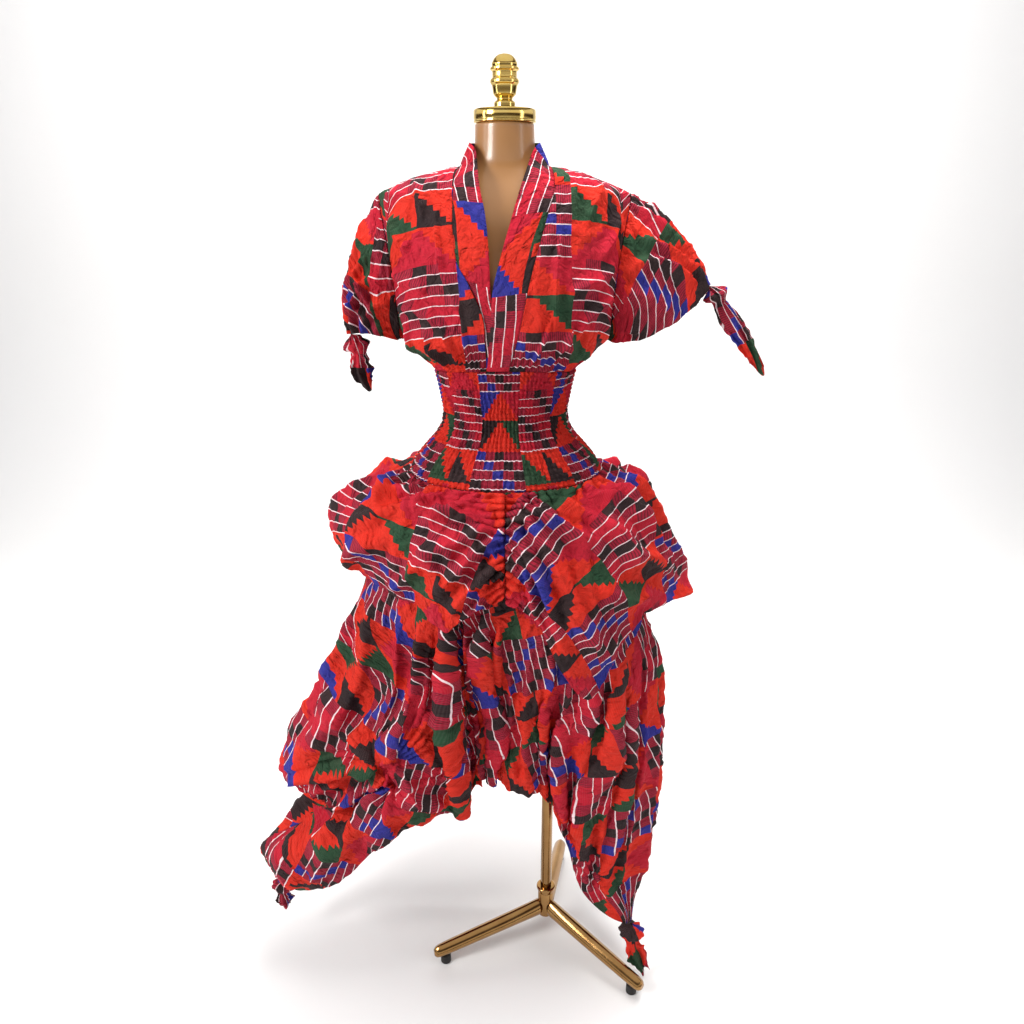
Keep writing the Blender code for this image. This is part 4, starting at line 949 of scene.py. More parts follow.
def sew_front(name, table, side, seed, print_turn, print_shift):
    """One front, from the seam of the neck band to the armhole and the side seam."""
    rows, columns = FRONT_ROWS, FRONT_COLUMNS
    t = np.linspace(0, 1, rows)
    v = 1 - (1 - t) ** ROW_CROWDING
    u = np.linspace(0, 1, columns)
    seam_x, seam_z = seam_line(table, v)
    side_z = WAIST_TOP + (SHOULDER_Z - WAIST_TOP) * v + GAP
    side_x = side * (armhole_x(side_z) - GAP)
    seam_x = seam_x + side * 2 * GAP
    x = seam_x[:, None] + (side_x - seam_x)[:, None] * u[None, :]
    z = seam_z[:, None] + (side_z - seam_z)[:, None] * u[None, :]
    z = z + SHOULDER_CROWN * np.sin(math.pi * u)[None, :] * (v ** 3)[:, None]
    floor_z = WAIST_TOP + waist_dip(x) + GAP
    z = np.where(v[:, None] < 0.15, np.maximum(z, floor_z + (z - z[:1]) * 0.8), z)
    tuck = ease(v / 0.13)[:, None]
    depth = waist_depth(x, z, TUCK_PANEL) * (1 - tuck) - front_depth(x, z, -1) * tuck
    grid = np.stack([x, -depth, z], axis=2)
    grid[:, :, 1] = np.minimum(grid[:, :, 1], -GAP / 2)
    cloth_u = girth(x, z, -1)
    cloth_v = rise(x, z, -1)
    normal = outward(grid, row_centres(grid))
    uu = np.broadcast_to(u[None, :], x.shape)
    vv = np.broadcast_to(v[:, None], x.shape)
    fade = edge_fade(rows, columns, 0.0, 0.10, 0.06, 0.08)
    push = crumples(cloth_u, cloth_v, seed, 1.3) + 2.0 * creases(uu, vv, FRONT_CREASES[name])
    push = push * fade * (0.35 + 0.65 * ease(vv / 0.1))
    push = push + waist_gathers(uu, vv, 13, seed) * edge_fade(rows, columns, 0, 0, 0.05, 0.05)
    grid = grid + normal * push[:, :, None]
    grid[:-1, :, 1] = np.minimum(grid[:-1, :, 1], -GAP / 2)
    grid[-1, :, 1] = -SHOULDER_SEAM
    cloth_v[-1] = cloth_v[-2] + np.linalg.norm(grid[-1] - grid[-2], axis=1)
    return sew_sheet(name + "_cloth", grid, turned_print(cloth_u, cloth_v, print_turn, print_shift))


for name, table, side, seed, print_turn, print_shift in (
    ("bodice_front_right", BAND_RIGHT, 1, 11, 1.0, (0.142, 0.048)),
    ("bodice_front_left", BAND_LEFT, -1, 23, 3.0, (0.190, 0.050)),
):
    piece = sew_front(name, table, side, seed, print_turn, print_shift)
    declare(piece, name)

BACK_ROWS = 96
BACK_SPAN = 133
BACK_NECK_WIDTH = 0.0735
BACK_NECK_DEPTH = 0.0713
BACK_CREASES = (
    (0.08, 0.55, 0.40, 0.28, 0.05, 0.0075), (0.92, 0.58, 0.62, 0.26, 0.05, 0.0075),
    (0.12, 0.80, 0.30, 0.55, 0.04, 0.0060), (0.88, 0.82, 0.72, 0.52, 0.04, 0.0060),
    (0.30, 0.40, 0.42, 0.05, 0.03, 0.0060), (0.50, 0.50, 0.52, 0.06, 0.03, 0.0055),
    (0.68, 0.42, 0.60, 0.04, 0.03, 0.0060), (0.20, 0.30, 0.22, 0.03, 0.025, 0.0055),
    (0.80, 0.28, 0.77, 0.03, 0.025, 0.0055), (0.40, 0.90, 0.46, 0.60, 0.04, 0.0035),
)
t = np.linspace(0, 1, BACK_ROWS)
v = 1 - (1 - t) ** ROW_CROWDING
u = np.linspace(-1, 1, BACK_SPAN)
share = np.sin(u * math.pi / 2) * 0.35 + u * 0.65
side_z = WAIST_TOP + (SHOULDER_Z - WAIST_TOP) * v
side_x = armhole_x(side_z) - GAP
shoulder_x = float(armhole_x(SHOULDER_Z))
top_x = np.abs(share) * shoulder_x
neck_half = SHOULDER_NECK_X
run = (shoulder_x - top_x) / (shoulder_x - neck_half)
on_shoulder = SHOULDER_Z + (NECK_SEAM_Z - SHOULDER_Z) * run
on_shoulder = on_shoulder + SHOULDER_CROWN * np.sin(math.pi * np.clip(run, 0, 1))
on_neck = NECK_SEAM_Z - BACK_NECK_DROP * np.sqrt(np.clip(1 - (top_x / neck_half) ** 2, 0, 1))
top_z = np.where(top_x > neck_half, on_shoulder, on_neck)
x = share[None, :] * side_x[:, None]
z = WAIST_TOP + GAP + (top_z[None, :] - WAIST_TOP - 2 * GAP) * v[:, None]
tuck = ease(v / 0.13)[:, None]
y = waist_depth(x, z, TUCK_PANEL) * (1 - tuck) + front_depth(x, z, 1) * tuck
grid = np.stack([x, y, z], axis=2)
cloth_u = girth(x, z, 1)
cloth_v = rise(x, z, 1)
uu = np.broadcast_to((u[None, :] + 1) / 2, x.shape)
vv = np.broadcast_to(v[:, None], x.shape)
push = crumples(cloth_u, cloth_v, 37, 1.3) + 2.0 * creases(uu, vv, BACK_CREASES)
push = push * edge_fade(BACK_ROWS, BACK_SPAN, 0.0, 0.10, 0.05, 0.05) * (0.35 + 0.65 * ease(vv / 0.1))
push = push + waist_gathers(uu, vv, 24, 37) * edge_fade(BACK_ROWS, BACK_SPAN, 0, 0, 0.03, 0.03)
grid = grid + outward(grid, row_centres(grid)) * push[:, :, None]
grid[:, :, 1] = np.maximum(grid[:, :, 1], GAP / 2)
# the last row is sewn to the fronts along the shoulders and to the band round the back of the neck
round_neck = np.sqrt(np.clip(1 - (x[-1] / BACK_NECK_WIDTH) ** 2, 0, 1))
grid[-1, :, 1] = np.maximum(BACK_NECK_DEPTH * round_neck, SHOULDER_SEAM)
grid[-1, :, 2] = np.where(round_neck > 0, NECK_SEAM_Z - 0.0008 - 0.004 * round_neck, top_z)
cloth_v[-1] = cloth_v[-2] + np.linalg.norm(grid[-1] - grid[-2], axis=1)
piece = sew_sheet("bodice_back_cloth", grid, turned_print(-cloth_u, cloth_v, -2.0, (0.06, 0.05)))
declare(piece, "bodice_back")


# Neck band: a folded strip of the same cotton, cut along the print, that edges both fronts and the back neck.
# The photograph's right half laps over the left; a white line of the print runs down its free edge.
BAND_ROWS = 120
BAND_COLUMNS = 14
BAND_CREASES = (
    (0.2, 0.75, 0.9, 0.55, 0.10, 0.0018), (0.1, 0.50, 0.9, 0.38, 0.08, 0.0018),
    (0.2, 0.22, 0.8, 0.10, 0.06, 0.0020),
)
# Where the white line at the free edge lies on the print
BAND_PRINT = 0.215
BACK_BAND_PRINT = (0.02, 0.0646)
for name, table, inset, seed, shift in (
    ("neck_band_right", BAND_RIGHT, 0.0, 41, (1, 0.242)),
    ("neck_band_left", BAND_LEFT, LAP_INSET, 43, (-1, 0.650)),
):
    keyed = [(i / (len(table) - 1),) + row for i, row in enumerate(table)]
    v = 1 - (1 - np.linspace(0, 1, BAND_ROWS)) ** ROW_CROWDING
    u = np.linspace(0, 1, BAND_COLUMNS)
    edges = [smooth(keyed, c, v)[:, None] for c in (1, 2, 3, 4)]
    x = edges[0] + (edges[2] - edges[0]) * u[None, :]
    z = edges[1] + (edges[3] - edges[1]) * u[None, :]
    tuck = ease(v / 0.13)[:, None]
    depth = waist_depth(x, z, TUCK_BAND) * (1 - tuck) - front_depth(x, z, -1) * tuck
    y = -depth + inset * ease((LAP_TOP - z) / LAP_FADE)
    grid = np.stack([x, y, z], axis=2)
    length = np.linalg.norm(np.diff(grid[:, BAND_COLUMNS // 2], axis=0), axis=1)
    along = np.concatenate([[0.0], np.cumsum(length)])
    width = np.linalg.norm(grid[:, -1] - grid[:, 0], axis=1)
    cloth_u = np.broadcast_to(along[:, None], x.shape)
    cloth_v = width[:, None] * u[None, :]
    uu = np.broadcast_to(u[None, :], x.shape)
    vv = np.broadcast_to(v[:, None], x.shape)
    push = 0.25 * crumples(cloth_v, cloth_u, seed) + creases(uu, vv, BAND_CREASES)
    push = push * edge_fade(BAND_ROWS, BAND_COLUMNS, 0.05, 0.08, 0.0, 0.2)
    push = push + 0.0006 * np.sin(math.pi * u)[None, :]
    grid = grid + outward(grid, row_centres(grid)) * push[:, :, None]
    grid[:, :, 1] = np.minimum(grid[:, :, 1], -GAP / 2)
    grid[-1, :, 1] = -SHOULDER_SEAM
    cloth = np.stack([shift[0] * cloth_u + shift[1], BAND_PRINT - cloth_v], axis=2)
    piece = sew_sheet(name + "_cloth", grid, cloth, thickness=0.0013)
    declare(piece, name)

top = BAND_RIGHT[-1]
angles = np.linspace(0, math.pi, 120)
rows = 14
grid = np.zeros((rows, len(angles), 3))
for i, u in enumerate(np.linspace(0, 1, rows)):
    reach = top[0] + (top[2] - top[0]) * u
    grid[i, :, 0] = reach * np.cos(angles)
    grid[i, :, 1] = reach * 0.97 * np.sin(angles) + GAP / 2
    grid[i, :, 2] = top[1] + (top[3] - 0.0004 - top[1]) * u + 0.004 * np.sin(angles) * (1 - 2 * u)
cloth_u = np.broadcast_to(angles[None, :] * 0.064, (rows, len(angles)))
cloth_v = np.broadcast_to(np.linspace(0, 0.04, rows)[:, None], (rows, len(angles)))
push = 0.25 * crumples(cloth_v, cloth_u, 47) * edge_fade(rows, len(angles), 0.2, 0.2, 0.06, 0.06)
grid = grid + outward(grid, row_centres(grid)) * push[:, :, None]
cloth = np.stack([cloth_u + BACK_BAND_PRINT[0], cloth_v + BACK_BAND_PRINT[1]], axis=2)
piece = sew_sheet("neck_band_back_cloth", grid, cloth, thickness=0.0013)
declare(piece, "neck_band_back")


# Sleeves: short, wide and set into the armholes, cut slantwise over the print. Each runs down to a corner
# that is tied; the cloth draws together in folds towards the knot, and the cuff hangs open below.
# Top, front, underarm and back of the ring halfway down and of the cuff
SLEEVE_GUIDES = {
    "sleeve_right": (
        ((0.270, 0.000, 1.529), (0.238, -0.088, 1.435), (0.174, 0.000, 1.338), (0.238, 0.088, 1.440)),
        ((0.342, -0.008, 1.428), (0.262, -0.062, 1.362), (0.184, 0.000, 1.336), (0.262, 0.066, 1.366)),
    ),
    "sleeve_left": (
        ((-0.257, 0.000, 1.490), (-0.226, -0.085, 1.430), (-0.172, 0.000, 1.340), (-0.226, 0.085, 1.435)),
        ((-0.264, -0.010, 1.350), (-0.228, -0.058, 1.354), (-0.188, 0.000, 1.340), (-0.226, 0.060, 1.358)),
    ),
}
SLEEVE_START = 0.006
SLEEVE_ROWS = 76
SLEEVE_COLUMNS = 133
SLEEVE_RUFFLES = 11
SLEEVE_HEAD_GATHERS = 27


def armhole_ring(side, angles):
    """The armhole seam: angle 0 is the shoulder, a quarter turn the front, half the underarm."""
    middle = (SHOULDER_Z + UNDERARM_Z) / 2
    half = (SHOULDER_Z - UNDERARM_Z) / 2
    z = middle + half * np.cos(angles)
    x = armhole_x(z)
    y = np.where(np.sin(angles) >= 0, front_depth(x, z, -1), front_depth(x, z, 1))
    return np.stack([side * x, y, z], axis=1)


def guide_ring(guides, angles):
    """A smooth ring through four guide points: top, front, underarm and back."""
    top, front, under, back = (np.array(g) for g in guides)
    centre = (top + front + under + back) / 4
    upright = (top - under) / 2
    across = (front - back) / 2
    twist = (top + under - front - back) / 4
    c = np.cos(angles)[:, None]
    s = np.sin(angles)[:, None]
    return centre + upright * c + across * s + twist * np.cos(2 * angles)[:, None]


# Creases: turn round the sleeve as a share, 0 on top and a quarter at the front, and way down it, to the
# other end; then width as a share and height in metres
SLEEVE_CREASES = {
    "sleeve_right": (
        (0.02, 0.10, -0.01, 0.98, 0.022, 0.0075), (0.10, 0.05, 0.03, 0.98, 0.022, 0.0080),
        (0.17, 0.12, 0.06, 1.00, 0.020, 0.0075), (0.24, 0.08, 0.10, 1.00, 0.022, 0.0075),
        (0.32, 0.02, 0.20, 0.95, 0.024, 0.0075), (0.40, 0.02, 0.33, 0.90, 0.026, 0.0075),
        (0.96, 0.10, 0.98, 0.98, 0.022, 0.0080), (0.88, 0.08, 0.94, 0.98, 0.024, 0.0080),
        (0.78, 0.06, 0.88, 0.98, 0.024, 0.0080), (0.68, 0.05, 0.76, 0.95, 0.026, 0.0080),
    ),
    "sleeve_left": (
        (0.02, 0.18, -0.01, 0.98, 0.024, 0.0085), (0.10, 0.28, 0.03, 0.98, 0.024, 0.0085),
        (0.18, 0.22, 0.07, 1.00, 0.022, 0.0080), (0.27, 0.15, 0.12, 1.00, 0.022, 0.0080),
        (0.34, 0.10, 0.22, 0.95, 0.024, 0.0080), (0.43, 0.10, 0.36, 0.90, 0.026, 0.0075),
        (0.12, 0.60, 0.30, 0.62, 0.050, 0.0070), (0.08, 0.78, 0.26, 0.82, 0.040, 0.0065),
        (0.94, 0.18, 0.98, 0.98, 0.024, 0.0085), (0.85, 0.12, 0.93, 0.98, 0.024, 0.0085),
        (0.75, 0.08, 0.84, 0.96, 0.026, 0.0080),
    ),
}
for name, side, seed, depth, ruffle, print_turn, shift in (
    ("sleeve_right", 1, 53, 1.7, 0.003, 110.0, (0.03, 0.02)),
    ("sleeve_left", -1, 59, 1.8, 0.006, 58.0, (0.05, 0.14)),
):
    turn = np.linspace(0, 1, SLEEVE_COLUMNS)
    angles = turn * 2 * math.pi
    start = armhole_ring(side, angles)
    middle = guide_ring(SLEEVE_GUIDES[name][0], angles)
    cuff = guide_ring(SLEEVE_GUIDES[name][1], angles)
    s = np.linspace(SLEEVE_START, 1, SLEEVE_ROWS)[:, None, None]
    grid = (1 - s) ** 2 * start + 2 * s * (1 - s) * middle + s * s * cuff
    centres = grid[:, :-1].mean(axis=1)
    way = s[:, :, 0]
    uu = np.broadcast_to(turn[None, :], grid.shape[:2])
    vv = np.broadcast_to(way, grid.shape[:2])
    cloth_u, cloth_v = cloth_measure(grid, SLEEVE_COLUMNS // 4)
    table = SLEEVE_CREASES[name]
    push = depth * sum(creases(uu + k, vv, table) for k in (-1, 0, 1))
    wave = np.cos(2 * math.pi * SLEEVE_RUFFLES * uu + 4.0 * np.sin(2 * math.pi * uu))
    push = push + ruffle * wave * ease((vv - 0.45) / 0.5)
    head = 0.0022 * np.sin(2 * math.pi * SLEEVE_HEAD_GATHERS * uu) * np.clip(1 - vv / 0.18, 0, 1)
    head = head * np.cos(angles / 2)[None, :] ** 4
    ring = np.sin(uu * 2 * math.pi) * 0.1
    ring_v = np.cos(uu * 2 * math.pi) * 0.1
    push = push + crumples(ring * 3 - vv * 0.24, ring_v * 3 - vv * 0.12, seed, 1.5) + head
    push = push * ease(vv / 0.06)
    normal = grid - centres[:, None, :]
    normal /= np.linalg.norm(normal, axis=2)[:, :, None]
    grid = grid + normal * push[:, :, None]
    grid[:, -1] = grid[:, 0]
    print_uv = turned_print(cloth_u, cloth_v, print_turn, shift)
    piece = sew_sheet(name + "_cloth", grid, print_uv, centres, seam=True)
    declare(piece, name)


# Shirred waist: the same cotton sewn on the wrong side with 24 rows of elastic thread 8 mm apart, which
# draw it to less than half its width. It stretches round the form and puffs a little between the rows.
WAIST_SEAM_ANGLE = 0.0025
WAIST_BASE = 0.0020
ELASTIC_ROWS = 24
WAIST_LINES = 4 * ELASTIC_ROWS + 1
SHIRR_PUFF = 0.0050
SHIRR_PLEAT = 0.0066
SHIRR_FULLNESS = 2.0
WAIST_RADIUS = 0.112
for name, first, columns, seed in (("waist_front", -math.pi, 290, 61), ("waist_back", 0.0, 230, 67)):
    angles = np.linspace(first + WAIST_SEAM_ANGLE, first + math.pi - WAIST_SEAM_ANGLE, columns)
    v = np.linspace(0, 1, WAIST_LINES)
    front = np.maximum(0.0, -np.sin(angles)) ** 2
    top = WAIST_TOP + WAIST_DIP * front
    z = WAIST_BOTTOM + (top - WAIST_BOTTOM)[None, :] * v[:, None]
    half_width, half_depth = form_size(z)
    x = half_width * np.cos(angles)[None, :]
    y = half_depth * np.sin(angles)[None, :]
    girth_at = np.hypot(x, y)
    around = angles[None, :] * WAIST_RADIUS
    tier = v[:, None] * ELASTIC_ROWS
    swell = np.abs(np.sin(math.pi * tier)) ** 0.6
    drift = 1.1 * crumple_noise(around / 0.012 + 0.0 * tier, np.floor(tier) * 0.37 + 0.5 + 0.0 * around, seed)
    drift = drift + 0.8 * crumple_noise(around / 0.03 + 0.0 * tier, tier * 0.5 + 0.0 * around, seed + 3)
    pleat = 0.5 + 0.5 * np.sin(2 * math.pi * around / SHIRR_PLEAT + 2.6 * drift)
    puff = WAIST_BASE + SHIRR_PUFF * ((0.35 + 0.65 * swell) * (0.08 + 0.92 * pleat ** 1.3))
    edge = edge_fade(WAIST_LINES, columns, 0.0, 0.0, 0.012, 0.012)
    puff = WAIST_BASE + (puff - WAIST_BASE) * edge
    grow = 1 + puff / girth_at
    grid = np.stack([x * grow, y * grow, z], axis=2)
    cloth_u = np.broadcast_to(angles[None, :] * WAIST_RADIUS * SHIRR_FULLNESS, z.shape)
    print_uv = np.stack([cloth_u + 0.0625 * 0.9, (z - WAIST_BOTTOM) * 1.12 + 0.044], axis=2)
    piece = sew_sheet(name + "_cloth", grid, print_uv, thickness=0.0007)
    declare(piece, name)


# Overskirt: two gathered pieces, hitched up by a ruched line at the front, that puff over the hips.
# The left one is a rounded lobe; the right one drops to a point in front and flares to another at the side.
# Angle round the body, then reach and height at three levels down
OVERSKIRT_LEFT = (
    (-270.0, 0.215, 1.070, 0.270, 0.975, 0.262, 0.880),
    (-240.0, 0.225, 1.072, 0.292, 0.975, 0.268, 0.862),
    (-210.0, 0.240, 1.075, 0.312, 0.985, 0.280, 0.880),
    (-185.0, 0.240, 1.080, 0.328, 0.985, 0.285, 0.905),
    (-165.0, 0.227, 1.080, 0.297, 0.993, 0.262, 0.915),
    (-150.0, 0.205, 1.078, 0.246, 0.999, 0.232, 0.905),
    (-135.0, 0.184, 1.075, 0.219, 0.984, 0.212, 0.897),
    (-120.0, 0.174, 1.068, 0.205, 0.976, 0.205, 0.868),
    (-106.0, 0.168, 1.062, 0.190, 0.980, 0.198, 0.905),
    (-90.0, 0.160, 1.055, 0.174, 0.995, 0.184, 0.935),
)
OVERSKIRT_RIGHT = (
    (-90.0, 0.160, 1.055, 0.174, 0.995, 0.184, 0.925),
    (-76.0, 0.175, 1.065, 0.205, 0.990, 0.205, 0.895),
    (-65.0, 0.184, 1.065, 0.222, 0.952, 0.240, 0.795),
    (-55.0, 0.189, 1.063, 0.238, 0.931, 0.252, 0.748),
    (-40.0, 0.209, 1.071, 0.258, 0.963, 0.268, 0.835),
    (-28.0, 0.220, 1.078, 0.268, 0.965, 0.278, 0.872),
    (-12.0, 0.232, 1.080, 0.288, 0.956, 0.318, 0.862),
    (0.0, 0.238, 1.078, 0.300, 0.956, 0.357, 0.858),
    (20.0, 0.244, 1.075, 0.312, 0.950, 0.338, 0.840),
    (50.0, 0.228, 1.070, 0.292, 0.955, 0.300, 0.830),
    (90.0, 0.215, 1.070, 0.270, 0.975, 0.262, 0.880),
)
SEAM_DEGREES = 0.12
OVERSKIRT_STAND_OFF = 0.0045
SKIRT_STAND_OFF = 0.0022
FOLD_COUNT = 11
FOLD_LEAN = 1.6


def skirt_points(table, angles, levels, top_grow, top_z):
    """Reach and height round a skirt, smooth across its folds and down its length."""
    levels_in_table = (len(table[0]) - 1) // 2
    reach = np.zeros((levels_in_table + 1, len(angles)))
    height = np.zeros_like(reach)
    radians = np.radians(angles)
    half_width, half_depth = form_size(top_z)
    x = half_width * np.cos(radians)
    y = half_depth * np.sin(radians)
    reach[0] = np.hypot(x, y) + top_grow
    height[0] = top_z
    for k in range(levels_in_table):
        reach[k + 1] = smooth(table, 1 + 2 * k, angles)
        height[k + 1] = smooth(table, 2 + 2 * k, angles)
    direction = np.arctan2(y, x)
    direction = radians + np.mod(direction - radians + math.pi, 2 * math.pi) - math.pi
    steps = np.arange(levels_in_table + 1) / levels_in_table
    grid = np.zeros((len(levels), len(angles), 3))
    for j in range(len(angles)):
        profile = [(steps[k], reach[k, j], height[k, j]) for k in range(levels_in_table + 1)]
        r = smooth(profile, 1, levels)
        z = smooth(profile, 2, levels)
        turn = direction[j] + (radians[j] - direction[j]) * ease(levels * 2)
        grid[:, j] = np.stack([r * np.cos(turn), r * np.sin(turn), z], axis=1)
    return grid


def add_folds(grid, angles, levels, depth, lean):
    """Broad soft folds round the skirt, which lean as they run down."""
    for j, angle in enumerate(angles):
        out = grid[:, j, :2] / np.linalg.norm(grid[:, j, :2], axis=1)[:, None]
        wave = np.cos(math.radians(angle) * FOLD_COUNT + lean * levels)
        swing = depth * wave * np.sin(math.pi * 0.85 * levels)
        grid[:, j, :2] += out * swing[:, None]
    return grid


def drape_gathers(angles, levels, count, seed, depth):
    """Uneven gathers that leave the waist seam close together and join into wider folds below."""
    a = np.radians(angles)[None, :] + 0.0 * levels[:, None]
    l = levels[:, None] + 0.0 * a
    warp = 0.16 * crumple_noise(a * 4.0, l * 3.0, seed) + 0.05 * crumple_noise(a * 11.0, l * 5.0, seed + 1)
    fine = np.sin(count * (a + warp))
    wide = np.sin(count * 0.43 * (a + 1.6 * warp) + 1.0)
    fade_fine = ease(l / 0.03) * np.exp(-l * 5.0)
    fade_wide = ease(l / 0.12) * np.exp(-((l - 0.45) / 0.45) ** 2)
    rough = crumple_noise(a * 7.0, l * 4.0, seed + 2)
    return depth * (1.3 * fine * fade_fine * (0.8 + rough) + wide * fade_wide * (0.7 + rough))


def hitched(angles, levels, seed):
    """Small sharp pleats that run out from the ruched line at the middle of the front."""
    off = np.abs(angles + 90.0)[None, :]
    drift = 0.35 * crumple_noise(off / 9.0, levels[:, None] * 6.0, seed)
    wave = np.cos(2 * math.pi * (13.0 * levels[:, None] - off / 55.0 + drift))
    return 0.0065 * wave * np.exp(-off / 13.0) * ease(levels / 0.12)[:, None]


OVERSKIRT_ROWS = 90
OVERSKIRT_COLUMNS = 210
# Creases: angle round the body and level, to the other end; width in metres and height in metres
OVERSKIRT_CREASES = {
    "overskirt_left": (
        (-93, 0.45, -128, 0.80, 0.016, 0.011), (-93, 0.35, -140, 0.62, 0.016, 0.011),
        (-94, 0.60, -118, 0.95, 0.014, 0.010), (-94, 0.25, -150, 0.40, 0.015, 0.009),
        (-120, 0.12, -168, 0.55, 0.018, 0.010), (-135, 0.10, -175, 0.35, 0.016, 0.009),
        (-110, 0.10, -135, 0.50, 0.014, 0.009), (-150, 0.60, -172, 0.92, 0.018, 0.011),
        (-128, 0.62, -150, 0.95, 0.016, 0.010), (-182, 0.30, -195, 0.90, 0.020, 0.012),
        (-205, 0.20, -200, 0.95, 0.022, 0.012), (-225, 0.15, -220, 0.90, 0.020, 0.012),
        (-245, 0.20, -235, 0.95, 0.020, 0.012), (-262, 0.15, -255, 0.92, 0.018, 0.011),
        (-165, 0.15, -158, 0.45, 0.014, 0.009), (-100, 0.70, -104, 1.00, 0.010, 0.010),
    ),
    "overskirt_right": (
        (-87, 0.30, -66, 0.92, 0.016, 0.011), (-86, 0.45, -74, 1.00, 0.012, 0.010),
        (-86, 0.22, -55, 0.75, 0.016, 0.011), (-85, 0.15, -42, 0.52, 0.015, 0.010),
        (-62, 0.10, -30, 0.62, 0.016, 0.010), (-45, 0.10, -12, 0.60, 0.016, 0.010),
        (-30, 0.12, -2, 0.85, 0.018, 0.012), (-52, 0.62, -24, 0.92, 0.018, 0.011),
        (-40, 0.50, -8, 0.80, 0.018, 0.011), (-66, 0.70, -40, 0.98, 0.014, 0.010),
        (-8, 0.20, 6, 0.95, 0.020, 0.012), (15, 0.15, 20, 0.92, 0.022, 0.012),
        (34, 0.20, 36, 0.95, 0.020, 0.012), (52, 0.15, 50, 0.92, 0.020, 0.012),
        (70, 0.18, 66, 0.94, 0.020, 0.012), (84, 0.25, 80, 0.90, 0.016, 0.010),
    ),
}


def body_creases(angles, levels, table, reach, drop):
    """Main creases given by angle and level, on cloth of a mean reach and drop in metres."""
    across = np.radians(angles)[None, :] * reach
    down = levels[:, None] * drop
    rows = [
        (math.radians(a0) * reach, l0 * drop, math.radians(a1) * reach, l1 * drop, width, height)
        for a0, l0, a1, l1, width, height in table
    ]
    return creases(across, down, rows)


for name, table, seed, turn, shift in (
    ("overskirt_left", OVERSKIRT_LEFT, 71, -6.0, (0.02, 0.03)),
    ("overskirt_right", OVERSKIRT_RIGHT, 73, 28.0, (0.05, 0.07)),
):
    angles = np.linspace(table[0][0] + SEAM_DEGREES, table[-1][0] - SEAM_DEGREES, OVERSKIRT_COLUMNS)
    levels = np.linspace(0, 1, OVERSKIRT_ROWS)
    grid = skirt_points(table, angles, levels, OVERSKIRT_STAND_OFF, WAIST_BOTTOM - GAP)
    grid = add_folds(grid, angles, levels, 0.0045, -FOLD_LEAN)
    push = 1.7 * body_creases(angles, levels, OVERSKIRT_CREASES[name], 0.26, 0.24)
    push = push + drape_gathers(angles, levels, 46, seed, 0.0060) + hitched(angles, levels, seed)
    fade = edge_fade(OVERSKIRT_ROWS, OVERSKIRT_COLUMNS, 0.02, 0.0, 0.008, 0.008)
    reference = OVERSKIRT_COLUMNS * 7 // 9 if table is OVERSKIRT_LEFT else OVERSKIRT_COLUMNS * 2 // 9
    print_uv = turned_print(*fan_measure(grid, reference, 0.19), turn, shift)
    grid = grid + outward(grid, row_centres(grid)) * (push * fade)[:, :, None]
    grid = uneven_hem(grid, levels, seed, 0.011)
    push = crumples(print_uv[:, :, 0], print_uv[:, :, 1], seed, 1.5, 1.0) * fade
    grid = grid + outward(grid, row_centres(grid)) * push[:, :, None]
    piece = sew_sheet(name + "_cloth", grid, print_uv)
    declare(piece, name)


